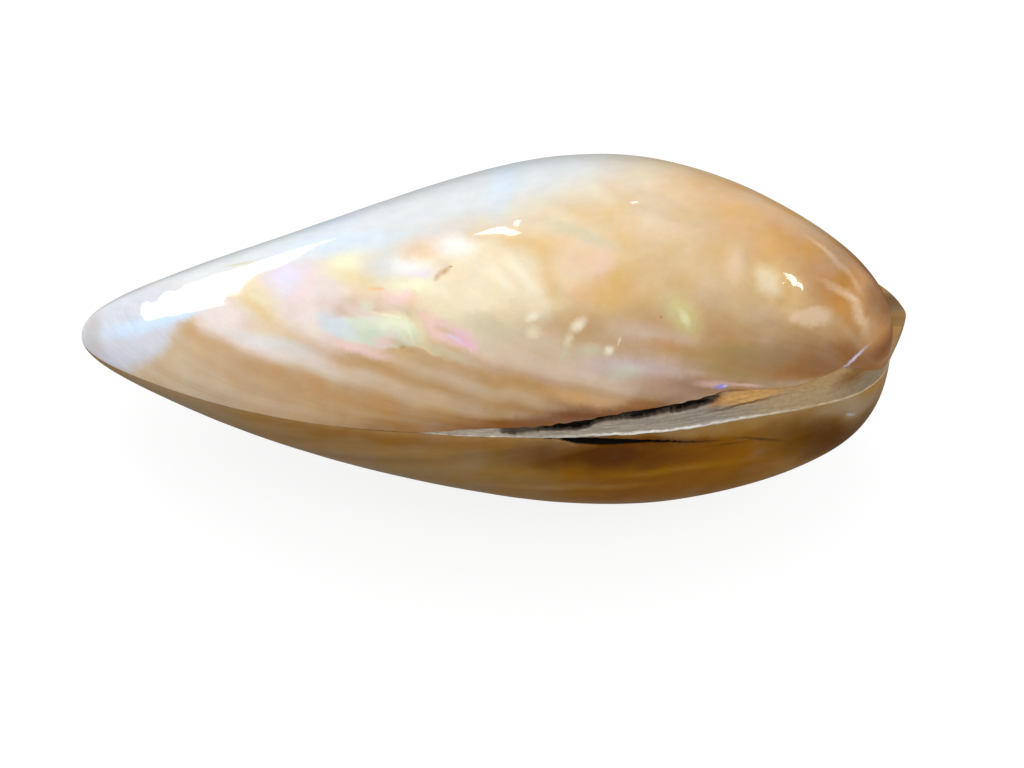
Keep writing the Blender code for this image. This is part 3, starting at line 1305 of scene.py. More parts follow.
@dataclass
class Ligament:
    """The strip that fills the gap between the hinge edges, with its torn groove under the upper valve. A
    window has its start, its rise, its end and its fall, in millimetres along the shell. A fractal has the
    drop from layer to layer, the step in size and the layers."""

    GROOVE_LAYER = 9.0
    STRAND_LAYER = 1.0
    Window = tuple[float, float, float, float]
    Fractal = tuple[float, float, int]

    upper: Valve
    lower: Valve
    finish: Fibre
    node: str = "ligament"
    slot: str = "ligament_fibre"
    start: float = -0.0106
    end: float = 0.0572
    stations: int = 520
    face_steps: int = 56
    back_steps: int = 16
    depth: float = 0.0022
    narrowing: float = 0.85
    inset: float = 0.00012
    strand_height: float = 0.10
    strand_rates: Span = (0.35, 2.0)
    strand_fractal: Fractal = (0.9, 2.1, 3)
    strand_window: Window = (-9.0, 6.0, 44.0, 12.0)
    lip_height: float = 0.20
    lip_middle: float = 0.22
    lip_half: float = 0.38
    lip_window: Window = (-4.0, 6.0, 50.0, 12.0)
    groove_sink: float = 1.5
    groove_rate: float = 1.3
    groove_fractal: Fractal = (0.8, 2.0, 3)
    groove_ragged: float = 0.16
    groove_edge: float = 0.28
    groove_floor: Pairs = ((1.0, -0.1), (4.0, -0.35), (7.0, 0.0), (13.2, -0.05), (15.0, 0.6), (18.0, 0.65),
                           (20.5, 0.45), (23.5, 0.7), (26.5, 0.55), (29.0, 0.75), (32.0, 1.4))
    groove_depth: Pairs = ((0.8, 0.0), (2.2, 0.42), (6.6, 0.52), (8.4, 1.0), (14.2, 1.0), (16.5, 0.82),
                           (30.0, 0.72), (32.4, 0.0))

    def _face(self, x: np.ndarray, z: np.ndarray) -> np.ndarray:
        """Finds the shell's plain outside at a height off the rim plane.

        Args:
            x: Places along the shell, in metres.
            z: Heights off the rim plane, in metres.

        Returns:
            Y at each place, in metres.
        """
        t = np.clip(x / (0.5 * FORM.length), -1.0, 1.0)
        angle = FORM.start_angle(t, np.abs(z))
        return FORM.surface(t, angle, 1, 0.0, Fit())[..., 1]

    def _groove(self, x: np.ndarray, z: np.ndarray) -> np.ndarray:
        """Finds how deep the face lies in the torn groove.

        Args:
            x: Stations along the shell, in millimetres.
            z: Heights off the rim plane, in millimetres.

        Returns:
            The depth at each place, from 0 to 1.
        """
        places = [Vector((float(v) * self.groove_rate, 0.0, self.GROOVE_LAYER)) for v in x[:, 0]]
        ragged = np.array([noise.fractal(place, *self.groove_fractal) for place in places])
        floor = smooth_curve(self.groove_floor, x) + self.groove_ragged * ragged[:, None]
        return smooth_curve(self.groove_depth, x) * ease((z - floor) / self.groove_edge)

    def _relief(self, x: float, z: float, bottom: float) -> float:
        """Finds how far the face stands out, without its groove.

        Args:
            x: The place along the shell, in millimetres.
            z: The height off the rim plane, in millimetres.
            bottom: The height of the ligament's lower edge there, in millimetres.

        Returns:
            How far it stands out, in millimetres.
        """
        along, up = self.strand_rates
        strand = noise.fractal(Vector((x * along, z * up, self.STRAND_LAYER)), *self.strand_fractal)
        rise = self.strand_height * strand * float(window(x, *self.strand_window))
        lip = float(ease(1.0 - abs(z - bottom - self.lip_middle) / self.lip_half))
        return rise + self.lip_height * lip * float(window(x, *self.lip_window))

    def build(self, effects: Effects) -> bpy.types.Object:
        """Builds and dresses the ligament.

        Args:
            effects: The shared node groups.

        Returns:
            The ligament's object.
        """
        t = np.cos(np.linspace(0.0, np.pi, self.stations + 1))[:, None]
        x = 0.5 * (self.start + self.end) + 0.5 * (self.end - self.start) * t
        top = self.upper.lift(x) + 0.5 * FORM.rim_gap
        bottom = -self.lower.lift(x) - 0.5 * FORM.rim_gap
        close = np.sqrt(np.clip(1.0 - t * t, 0.0, None))
        share = np.linspace(0.0, 1.0, self.face_steps + 1)[None, :]
        z = bottom + (top - bottom) * share
        wide_x = np.broadcast_to(x, z.shape)
        groove = self._groove(x / MM, z / MM)
        relief = np.array([[self._relief(float(a), float(b), float(low)) for a, b in zip(row_x, row_z)]
                           for row_x, row_z, low in zip(wide_x / MM, z / MM, bottom[:, 0] / MM)])
        y = self._face(wide_x, z) + self.inset - (relief - self.groove_sink * groove) * MM * close
        back_share = np.linspace(1.0, 0.0, self.back_steps + 1)[None, :]
        back_z = (bottom + (top - bottom) * back_share) * (1.0 - self.narrowing)
        back_y = self._face(np.broadcast_to(x, back_z.shape), 0.0 * back_z) + self.depth * close
        face = np.stack([wide_x, y, z], axis=-1)
        back = np.stack([np.broadcast_to(x, back_z.shape), back_y, back_z], axis=-1)
        points = np.concatenate([face, back], axis=1)
        above = np.concatenate([z - bottom, 0.0 * back_z], axis=1) / MM
        tall = np.concatenate([z, back_z], axis=1) / MM
        skin = np.stack([points[..., 0] / MM, tall, above], axis=-1)
        shares = np.concatenate([np.broadcast_to(share, z.shape), np.zeros(back_z.shape)], axis=1)
        sink = np.concatenate([groove, np.zeros(back_z.shape)], axis=1)
        mesh = reshaped_sphere(points.shape[1], self.stations, points, skin, shares, sink)
        piece = finished_object(self.node + "_strip", mesh, self.finish.material(effects))
        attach(piece, "root")
        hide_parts(self.node)
        return piece


UPPER_FINISH = Nacre(
    name="upper_nacre",
    ground=Tint.SAND,
    fields=(
        Patch(Tint.EGGSHELL, 12, 38, 24, 10, -20, 0.7, 0.9),
        Patch(Tint.HONEY, 21, 23, 10, 7, -40, 0.9, 0.35),
        Patch(Tint.HONEY, 39, 27, 17, 9, -48, 0.6, 0.9),
        Patch(Tint.CARAMEL, 47.5, 16, 13, 5, -62, 0.6, 0.8),
        Patch(Tint.CARAMEL, 53, 13, 6, 12, 0, 0.6, 1.0),
        # darker brown at the beak end: partly the shell's own colour, partly painted shade on the beak's
        # steep wall
        Patch(Tint.TOFFEE, 57.0, 12, 4.4, 18, 0, 0.6, 1.0),
        Patch(Tint.BROWN, 57.6, 12, 4.0, 18, 0, 0.6, 0.8),
        Patch(Tint.TAN, 49.0, 28, 4.5, 12, -34, 0.7, 0.8),
        Patch(Tint.FAWN, -38, 3.5, 12, 5.5, 0, 0.6, 1.0),
        Patch(Tint.TAN, -6, 4, 30, 7.0, -5, 0.7, 1.0),
        Patch(Tint.TAN, 33, 9, 20, 5.5, -12, 0.7, 1.0),
        # darker brown along the hinge edge: partly the shell's own colour, partly painted shade where the
        # edge rounds down to the seam
        Patch(Tint.TOFFEE, 4, 1.0, 24, 2.8, 4, 0.7, 0.9),
        Patch(Tint.RUST, 11, 1.6, 14, 1.8, 4, 0.7, 0.8),
        Patch(Tint.TOFFEE, 46, 4.5, 13, 4.0, 0, 0.7, 1.0),
        Patch(Tint.BLUSH, -28, 17, 11, 7, 0, 0.7, 1.0),
        Patch(Tint.CREAM, -6, 21, 13, 7, 0, 0.7, 0.9),
    ),
    streaks=(
        Streak(Tint.EGGSHELL, 1.1, 0.012, 0.46, 0.70, 0.22),
        Streak(Tint.TAN, 1.3, 0.015, 0.48, 0.72, 0.22, 20.0),
        Streak(Tint.HONEY, 0.7, 0.02, 0.48, 0.70, 0.20, 40.0),
    ),
    ribbons=(
        Patch(Tint.OAT, -36, -8, 13, 3.4, 0, 0.9, 0.6),
        Patch(Tint.TAN, -26, 0, 15, 2.6, 0, 0.9, 0.5),
        Patch(Tint.TAN, -27, 6.0, 19, 3.0, 0, 0.9, 0.7),
        Patch(Tint.OAT, -16, 12.6, 14, 3.0, 0, 0.9, 0.6),
        Patch(Tint.BLUSH, -31, 13.2, 11, 2.6, 0, 0.9, 0.8),
        Patch(Tint.TAN, -12, 17.8, 22, 1.8, 0, 0.9, 0.5),
        Patch(Tint.OAT, -4, 21.8, 16, 2.4, 0, 0.9, 0.6),
        Patch(Tint.TAN, 2, 26.4, 15, 2.4, 0, 0.9, 0.6),
        Patch(Tint.MAUVE, 6, 30.0, 12, 1.6, 0, 0.9, 0.5),
        Patch(Tint.BLUSH, 9, 34.0, 13, 2.6, 0, 0.9, 0.5),
    ),
    patches=(
        # the cool, pale crown and hind tip: partly pale nacre, partly a painted reflection of the bright
        # light above and behind the shell
        Patch(Tint.PEARL, -8, 43, 28, 13, 14, 0.35, 0.95),
        Patch(Tint.PEARL, -38, 31, 20, 9.5, 44, 0.35, 0.95),
        Patch(Tint.PEARL, -22, 28.6, 16, 3.4, 3, 0.5, 0.95),
        Patch(Tint.MIST, -52.0, 8, 12.5, 7.4, 43, 0.16, 1.0),
        Patch(Tint.SKY, -46.0, 8.9, 9.5, 1.2, 33, 0.6, 0.95),
        Patch(Tint.SKY, -22, 36, 4, 10, -10, 0.9, 0.4),
        Patch(Tint.SKY, 2.5, 42, 1.6, 9, -6, 0.9, 0.5),
        Patch(Tint.SKY, -22, 29.8, 8, 1.6, 4, 0.8, 0.4),
        Patch(Tint.BONE, -55.5, 4.5, 1.4, 5, 10, 0.9, 0.5),
        # pastel clouds behind the middle
        Patch(Tint.STRAW, -31.5, 17, 5.6, 2.6, -54, 0.9, 0.8),
        Patch(Tint.GOLD, -30.5, 14.6, 5.0, 1.0, -38, 0.9, 0.4),
        Patch(Tint.BLUSH, -36.4, 12.6, 3.5, 2.4, 30, 0.6, 1.0),
        Patch(Tint.LAGOON, -29, 10.2, 5.0, 0.9, -4, 0.9, 0.5),
        Patch(Tint.LILAC, -26.6, 21.8, 3.8, 3.2, -50, 0.8, 1.0),
        Patch(Tint.BLUSH, -22.5, 18.0, 2.8, 5.6, 10, 0.8, 1.0),
        Patch(Tint.ROSE, -25.4, 18.6, 3.4, 1.0, 60, 0.9, 0.3),
        Patch(Tint.LEMON, -19.0, 24.2, 3.0, 2.2, 10, 0.9, 0.9),
        Patch(Tint.STRAW, -17.0, 21.6, 3.8, 1.3, -8, 0.9, 0.8),
        Patch(Tint.PEARL, -13.5, 23.8, 3.0, 2.2, 0, 0.9, 0.8),
        Patch(Tint.WHITE, -9.6, 23.8, 2.6, 1.8, 0, 0.9, 0.8),
        Patch(Tint.LILAC, -8.6, 22.2, 1.6, 1.0, 0, 0.9, 0.7),
        Patch(Tint.PEACH, -8.4, 27.0, 2.8, 2.2, 0, 0.9, 0.8),
        Patch(Tint.WHITE, -4.4, 26.8, 2.6, 1.6, -20, 1.0, 0.8),
        # the mint, rose and magenta swirl
        Patch(Tint.MAUVE, -16.5, 17.2, 5.6, 1.4, 6, 0.8, 0.45),
        Patch(Tint.ROSE, -11.8, 18.9, 2.4, 1.5, 0, 0.8, 0.8),
        Patch(Tint.MINT, -14.4, 13.6, 6.0, 2.3, -2, 0.18, 0.95),
        Patch(Tint.LAGOON, -20.4, 14.2, 2.6, 1.5, -20, 0.6, 0.9),
        Patch(Tint.LEMON, -11.6, 14.9, 2.6, 1.3, -10, 0.8, 0.6),
        Patch(Tint.MAUVE, -19.5, 16.2, 1.6, 0.7, 20, 0.8, 0.4),
        Patch(Tint.BLUSH, -16.6, 16.1, 2.6, 0.8, -16, 0.5, 0.5),
        Patch(Tint.MINT, -16.2, 17.4, 1.0, 0.8, 20, 0.6, 0.6),
        Patch(Tint.SAGE, -11.0, 16.6, 2.2, 0.35, -28, 0.6, 0.7),
        Patch(Tint.STRAW, -8.7, 12.0, 2.2, 0.35, -26, 0.8, 0.7),
        Patch(Tint.ROSE, -17.0, 11.0, 4.0, 0.8, -14, 0.6, 0.8),
        Patch(Tint.ROSE, -13.6, 12.2, 1.3, 1.0, 30, 0.7, 0.7),
        Patch(Tint.TAN, -11.4, 11.9, 1.6, 0.7, -20, 0.8, 0.5),
        Patch(Tint.LEMON, -9.6, 20.4, 3.2, 1.1, -5, 0.9, 1.0),
        Patch(Tint.APRICOT, -9.8, 18.2, 0.7, 1.3, -5, 0.9, 0.7),
        Patch(Tint.ROSE, -10.6, 19.4, 0.9, 0.8, 0, 0.9, 0.7),
        Patch(Tint.STRAW, -5.0, 17.1, 4.0, 1.2, -20, 0.9, 0.8),
        Patch(Tint.SAGE, -7.6, 15.6, 3.6, 0.9, -36, 0.8, 0.7),
        Patch(Tint.APRICOT, -6.2, 15.1, 2.8, 0.6, -28, 0.8, 0.8),
        Patch(Tint.ROSE, -5.2, 14.1, 3.8, 1.4, -30, 0.5, 0.8),
        Patch(Tint.MAGENTA, -3.4, 13.0, 2.3, 0.8, -31, 0.4, 0.9),
        Patch(Tint.SAGE, -6.4, 11.6, 4.6, 0.7, -20, 0.8, 0.7),
        Patch(Tint.STRAW, -8.9, 14.2, 0.7, 2.2, 20, 0.6, 0.7),
        # the warm middle
        Patch(Tint.CREAM, -1, 19.5, 6, 4.4, -20, 0.9, 0.65),
        Patch(Tint.SAGE, 1.6, 14.4, 5.0, 1.8, -10, 0.9, 0.8),
        Patch(Tint.OAT, 7.5, 11.6, 5.6, 2.2, -16, 0.9, 0.8),
        Patch(Tint.GOLD, 5.6, 26.6, 4.8, 1.2, -18, 0.9, 0.6),
        Patch(Tint.GOLD, 8.4, 23.0, 1.2, 3.8, 8, 0.8, 0.7),
        Patch(Tint.PEACH, 12.2, 24.0, 4.2, 3.4, 20, 0.8, 0.7),
        Patch(Tint.ROSE, 14.8, 22.6, 1.2, 2.6, -10, 0.9, 0.4),
        Patch(Tint.APRICOT, 12.6, 19.2, 1.7, 1.6, 0, 0.8, 0.9),
        Patch(Tint.GOLD, 15.8, 18.6, 2.6, 2.8, 0, 0.8, 0.9),
        Patch(Tint.TAN, 13.0, 14.4, 6.6, 1.8, -14, 0.9, 0.6),
        Patch(Tint.CREAM, 6.0, 18.4, 2.6, 1.8, -14, 0.9, 0.7),
        Patch(Tint.GOLD, 16.8, 28.4, 4.8, 2.4, -44, 0.9, 0.5),
        Patch(Tint.SAGE, 12.6, 27.6, 4.4, 1.0, -28, 0.9, 0.8),
        Patch(Tint.GOLD, 22.5, 20.0, 4.6, 3.4, -30, 0.9, 0.4),
        # streaks and paler places towards the beaks, with a painted glow round the lamp's highlight and
        # painted highlights along the beak's ridges
        Patch(Tint.LIME, 25.6, 14.9, 3.0, 1.5, -52, 1.0, 0.8),
        Patch(Tint.BLUSH, 22.0, 12.4, 5.6, 1.2, -16, 0.9, 0.3),
        Patch(Tint.PEACH, 32.6, 20.6, 1.1, 2.0, 0, 0.9, 0.8),
        Patch(Tint.GOLD, 39.3, 16.2, 5.0, 2.6, -42, 0.5, 0.9),
        # painted glow: partly paler nacre, partly a painted glow round the lamp's highlight on the hammered
        # gold
        Patch(Tint.CREAM, 37.6, 17.6, 2.2, 1.4, -50, 0.7, 0.8),
        Patch(Tint.PEACH, 43.4, 11.9, 2.8, 1.3, -12, 0.4, 0.9),
        Patch(Tint.CARAMEL, 46.6, 14.8, 5.6, 1.9, -52, 0.6, 0.65),
        # pale lines along the growth ridges to the beak: partly pale nacre, partly painted highlights on the
        # ridges
        Patch(Tint.PEACH, 46.6, 20.4, 3.4, 0.45, -50, 0.9, 0.7),
        Patch(Tint.PEACH, 49.2, 16.6, 2.6, 0.45, -58, 0.9, 0.5),
        Patch(Tint.PEACH, 48.0, 14.2, 2.8, 0.4, -38, 0.9, 0.8),
        Patch(Tint.PEACH, 51.0, 9.9, 3.6, 0.6, -62, 0.9, 0.8),
        Patch(Tint.PEACH, 52.4, 7.0, 2.4, 1.0, -72, 0.9, 0.6),
        Patch(Tint.TOFFEE, 50.5, 23.0, 3.0, 9.0, -30, 0.9, 0.6),
        Patch(Tint.CARAMEL, 41.5, 23.0, 6.0, 1.6, -52, 0.9, 0.5),
        # the low edge by the hinge
        Patch(Tint.LILAC, 19.4, 8.2, 7.4, 1.5, -13, 0.9, 0.45),
        Patch(Tint.MINT, 18.2, 7.6, 2.0, 0.9, 0, 0.8, 0.8),
        Patch(Tint.CARAMEL, 24.6, 10.6, 4.0, 0.8, -14, 0.9, 0.8),
        Patch(Tint.OLIVE, 34.5, 7.9, 6.6, 1.5, -12, 0.9, 0.9),
        Patch(Tint.OLIVE, 32.0, 5.9, 5.2, 0.8, -18, 0.9, 0.7),
        Patch(Tint.MAUVE, 24.6, 5.0, 6.6, 1.1, -18, 0.9, 0.8),
        Patch(Tint.BROWN, 28.5, 4.2, 4.0, 0.9, -14, 0.9, 0.5),
        Patch(Tint.APRICOT, 14.0, 4.4, 5.6, 0.9, -12, 0.9, 0.5),
        # rust along the hinge edge: partly the shell's own colour, partly painted shade where the edge rounds
        # down to the seam
        Patch(Tint.RUST, 12.5, 2.2, 10.0, 0.9, 3, 0.9, 0.7),
        Patch(Tint.TOFFEE, 44.5, 5.8, 8.0, 2.0, -8, 0.9, 0.6),
        Patch(Tint.FAWN, 41.0, 0.6, 6.0, 1.4, 0, 0.9, 0.8),
        Patch(Tint.BROWN, 49.0, 4.6, 5.0, 2.0, 0, 0.9, 0.3),
        Patch(Tint.CARAMEL, 53.5, 6.4, 2.0, 3.4, 20, 0.8, 0.9),
        # orange-brown spot at the beak: partly the shell's own colour, partly painted shade on the beak's
        # steep wall
        Patch(Tint.RUST, 54.6, 3.6, 2.4, 1.8, 0, 0.9, 0.8),
    ),
    marks=(
        Patch(Tint.SAGE, -34.5, 25.0, 2.2, 0.5, 18, 0.8, 0.8),
        Patch(Tint.APRICOT, -14.8, 19.8, 1.0, 0.25, 0, 0.8, 0.9),
        Patch(Tint.OAT, -5.5, 14.2, 1.2, 0.35, -24, 0.9, 0.8),
        Patch(Tint.LILAC, -4.3, 13.2, 1.2, 0.22, -30, 0.9, 0.6),
        Patch(Tint.MAGENTA, -3.0, 12.8, 1.1, 0.25, -34, 0.8, 0.9),
        Patch(Tint.TAN, -6.6, 21.9, 0.7, 0.32, 64, 1.0, 0.7),
        Patch(Tint.TAN, -5.7, 22.8, 0.6, 0.42, 36, 1.0, 0.7),
        Patch(Tint.TAN, -4.9, 23.4, 0.3, 0.16, 10, 0.8, 0.8),
        Patch(Tint.LEMON, -13.2, 15.9, 2.2, 0.22, -10, 0.9, 0.5),
        Patch(Tint.LEMON, -10.4, 14.3, 1.6, 0.22, -74, 0.9, 0.5),
        Patch(Tint.TAN, -11.2, 11.7, 0.4, 0.22, 10, 0.8, 0.8),
        # painted glints: the ivory and cream flecks here are painted highlights where the hammered nacre
        # catches the light
        Patch(Tint.IVORY, 1.8, 21.4, 2.4, 0.60, -48, 1.0, 0.6),
        Patch(Tint.IVORY, 4.6, 22.0, 3.4, 0.70, -52, 1.0, 0.6),
        Patch(Tint.IVORY, 6.0, 16.2, 0.8, 0.5, 20, 0.9, 0.8),
        Patch(Tint.CREAM, 6.0, 14.1, 0.8, 0.7, 0, 0.9, 0.7),
        Patch(Tint.IVORY, 12.0, 14.9, 1.0, 0.6, 34, 0.9, 0.8),
        Patch(Tint.CREAM, 10.7, 12.9, 0.8, 0.45, 70, 1.0, 0.7),
        Patch(Tint.SAGE, 10.0, 11.0, 1.3, 0.3, 62, 0.9, 0.9),
        Patch(Tint.SAGE, 13.6, 11.4, 1.5, 0.7, -6, 0.9, 0.8),
        Patch(Tint.IVORY, 16.1, 11.1, 0.6, 0.5, 40, 0.9, 0.9),
        Patch(Tint.CREAM, 17.4, 12.2, 0.5, 0.14, 70, 0.9, 0.7),
        Patch(Tint.LEMON, 26.2, 14.3, 1.0, 0.4, -60, 1.0, 0.6),
        # painted highlight: a blue-white glint along the beak's lower edge
        Patch(Tint.LILAC, 50.2, 4.7, 1.7, 0.22, 35, 0.9, 0.9),
        Patch(Tint.ROSE, 30.6, 4.2, 2.4, 0.45, -12, 0.9, 0.6),
        Patch(Tint.VIOLET, 31.5, 3.7, 0.7, 0.3, -6, 0.9, 0.95),
        Patch(Tint.SKY, 32.1, 3.65, 0.3, 0.16, 0, 0.9, 0.8),
        Patch(Tint.ROSE, 35.0, 3.2, 2.0, 0.2, -14, 0.9, 0.7),
        Patch(Tint.TAUPE, 23.0, 14.7, 0.22, 0.14, -20, 0.5, 0.8),
    ),
    dull=(
        Patch(Tint.WHITE, -5.9, 22.4, 1.0, 0.3, 48, 0.5, 0.6),
        Patch(Tint.WHITE, 57, 14, 10.0, 22, 0, 0.9, 0.8),
        Patch(Tint.WHITE, 58.5, 14, 4.0, 24, 0, 0.6, 1.0),
        Patch(Tint.WHITE, 16, 1.0, 34, 5.0, 0, 0.9, 0.9),
    ),
    metallic=0.06,
    roughness=0.38,
    coat=1.0,
    specular=0.0,
)

# The lower valve is painted darker and browner than the upper: partly its own colour, partly painted shade of
# its underside, which faces away from the light.
LOWER_FINISH = Nacre(
    name="lower_nacre",
    ground=Tint.TAUPE,
    fields=(
        Patch(Tint.STONE, -45, 4, 10, 6, 0, 0.8, 0.5),
        Patch(Tint.STONE, -14, 14, 14, 5, 6, 0.9, 0.4),
        Patch(Tint.AMBER, 24, 13, 19, 8, 0, 0.7, 1.0),
        Patch(Tint.KHAKI, -2, 12, 12, 6, 6, 0.9, 0.5),
        Patch(Tint.MAROON, 17, 5.2, 14, 3.0, 5, 0.8, 1.0),
        Patch(Tint.KHAKI, 34, 3.2, 9, 1.5, 8, 0.6, 0.8),
        Patch(Tint.AMBER, 34, 7, 9, 2.4, 8, 0.8, 0.6),
        Patch(Tint.UMBER, 48, 9.5, 8, 4.5, 20, 0.8, 0.9),
        Patch(Tint.STONE, 51.0, 3.4, 4, 1.8, 10, 0.8, 0.6),
        Patch(Tint.STONE, 58.5, 17, 3.0, 10, 0, 0.6, 0.6),
        Patch(Tint.UMBER, 55.0, 7.0, 2.8, 4.6, 20, 0.9, 0.5),
    ),
    streaks=(
        Streak(Tint.UMBER, 1.0, 0.02, 0.50, 0.78, 0.18),
        Streak(Tint.KHAKI, 1.2, 0.02, 0.50, 0.78, 0.16, 20.0),
    ),
    ribbons=(),
    patches=(
        Patch(Tint.TOFFEE, -14, 1.5, 16, 1.2, 2, 0.9, 0.6),
        Patch(Tint.GOLD, 26, 10.5, 8, 0.8, 4, 0.9, 0.2),
        Patch(Tint.GOLD, 12, 13.0, 10, 0.8, 2, 0.9, 0.2),
        Patch(Tint.UMBER, 57.0, 22, 1.0, 9, 0, 0.8, 0.7),
        Patch(Tint.TAN, 57.9, 3.0, 1.8, 8.0, 0, 0.5, 0.35),
    ),
    marks=(
        # painted shade along the crack: a reddish-dark band, and thin dark lines that carry the crack on past
        # its built end
        Patch(Tint.MAROON, 24.0, 4.0, 6.0, 0.7, 11, 0.9, 0.8),
        Patch(Tint.BARK, 26.5, 4.5, 4.5, 0.16, 12, 0.8, 0.9),
        Patch(Tint.BARK, 37.5, 6.7, 3.0, 0.2, 18, 0.9, 0.6),
        Patch(Tint.UMBER, 33.0, 6.6, 2.6, 0.2, 4, 0.9, 0.5),
        # painted highlight: a pale glint on the lower valve near the beak
        Patch(Tint.MIST, 50.4, 4.9, 0.6, 0.2, 24, 0.9, 0.6),
    ),
    dull=(),
    metallic=0.0,
    roughness=0.42,
    coat=0.08,
    specular=0.0,
    richness=(0.97, 1.20),
    far_painted_shade=0.8,
)

LIGAMENT_FINISH = Fibre(
    name="ligament_fibre",
    ground=Tint.ASH,
    patches=(
        Patch(Tint.BONE, -3, 0.2, 6, 2.0, 0, 0.4, 0.8),
        Patch(Tint.BEIGE, 48, 0.5, 12, 5.0, 0, 0.5, 1.0),
        Patch(Tint.STONE, 53.5, 0.0, 4, 1.8, 10, 0.8, 0.7),
        Patch(Tint.UMBER, 47.0, 0.6, 9.0, 4.0, 0, 0.9, 0.2),
        Patch(Tint.UMBER, 53.5, 0.4, 4.4, 3.0, 10, 0.9, 0.4),
        Patch(Tint.ORANGE, 35.2, 1.5, 4.6, 1.3, 0, 0.4, 1.0),
        Patch(Tint.TOFFEE, 30.8, 2.0, 1.0, 1.4, 0, 0.9, 0.7),
        Patch(Tint.TOFFEE, 33.6, 2.7, 2.6, 0.25, -6, 0.9, 0.8),
        Patch(Tint.UMBER, 34.6, 0.2, 4.4, 0.18, 4, 0.9, 0.8),
        Patch(Tint.BROWN, 50.3, 2.0, 2.4, 1.2, 20, 0.9, 0.9),
        Patch(Tint.TAN, 43.0, 2.4, 5.0, 1.2, 4, 0.9, 0.7),
    ),
    lips=(
        Patch(Tint.BONE, 22, 0.9, 10, 0.6, 0, 0.8, 0.5),
        Patch(Tint.CHALK, 25, 0.22, 14, 0.24, 0, 0.6, 1.0),
        Patch(Tint.CHALK, 0, 0.10, 8, 0.10, 0, 0.8, 0.7),
        Patch(Tint.EGGSHELL, 47, 0.14, 12, 0.16, 0, 0.8, 0.8),
    ),
)

UPPER = Valve(
    node=Valve.UPPER_NODE,
    slot="upper_nacre",
    side=1,
    overhang=0.0,
    margin=((-10.2, 0.0), (-6.0, 0.38), (-2.8, 0.75), (0.5, 0.95), (6.6, 1.05), (12.3, 1.50), (18.0, 2.05),
            (24.6, 2.2), (29.4, 2.5), (32.5, 2.95), (35.7, 2.4), (42.6, 2.0), (46.0, 2.8), (49.2, 3.5),
            (51.0, 2.75), (53.0, 1.7), (55.0, 0.5), (56.4, 0.0)),
    finish=UPPER_FINISH,
    lumps=(
        Lump(12, 16, 12, 8, 0.16, -20, 3.2),
        Lump(-14, 15, 9, 6, 0.14, 15, 3.0),
        Lump(39.5, 14.6, 4.6, 2.6, 0.08, 0, 1.2),
        Lump(-6, 23, 1.1, 1.9, -0.30, -25),
        Lump(49, 13, 6, 0.9, 0.16, -52),
        Lump(51.5, 8, 4, 0.7, 0.12, -70),
    ),
    torn=0.22,
)

LOWER = Valve(
    node=Valve.LOWER_NODE,
    slot="lower_nacre",
    side=-1,
    overhang=Valve.LOWER_OVERHANG,
    margin=((-10.2, 0.0), (-6.4, 0.22), (-2.8, 0.38), (3.9, 0.62), (8.6, 0.98), (15.1, 1.32), (20.5, 1.83),
            (26.0, 2.3), (34.5, 2.42), (42.9, 2.4), (46.0, 2.15), (50.0, 1.75),
            (52.0, 1.45), (54.0, 1.15), (56.2, 0.8), (57.2, 0.0)),
    finish=LOWER_FINISH,
    crack=((7.6, 0.8), (12.4, 1.95), (15.1, 2.42), (17.8, 2.88), (20.7, 3.35), (23.4, 3.87), (26.5, 4.5)),
    crack_width=((7.6, 0.10), (12.4, 0.50), (15.1, 0.56), (17.8, 0.46), (20.7, 0.30), (23.4, 0.20),
                 (26.5, 0.10)),
    torn=0.10,
)


@dataclass(frozen=True)
class Lamp:
    """A soft rectangular lamp that faces the shell: its direction by compass and height in degrees, its
    distance and sides in metres, its strength in watts, its colour and its turn about its own line."""

    name: str
    compass: float
    height: float
    distance: float
    width: float
    tall: float
    watts: float
    colour: Triple = (1.0, 1.0, 1.0)
    turn: float = 0.0

    def build(self, target: Vector) -> None:
        """Adds the lamp.

        Args:
            target: The point that it faces.
        """
        data = bpy.data.lights.new(self.name, "AREA")
        data.shape = "RECTANGLE"
        data.size = self.width
        data.size_y = self.tall
        data.energy = self.watts
        data.color = self.colour
        lamp = bpy.data.objects.new(self.name, data)
        compass, height = math.radians(self.compass), math.radians(self.height)
        away = Vector((math.sin(compass) * math.cos(height), math.cos(compass) * math.cos(height),
                       math.sin(height)))
        facing = away.to_track_quat("Z", "Y") @ Quaternion((0.0, 0.0, 1.0), math.radians(self.turn))
        lamp.matrix_world = Matrix.LocRotScale(target + away * self.distance, facing, None)
        bpy.context.scene.collection.objects.link(lamp)


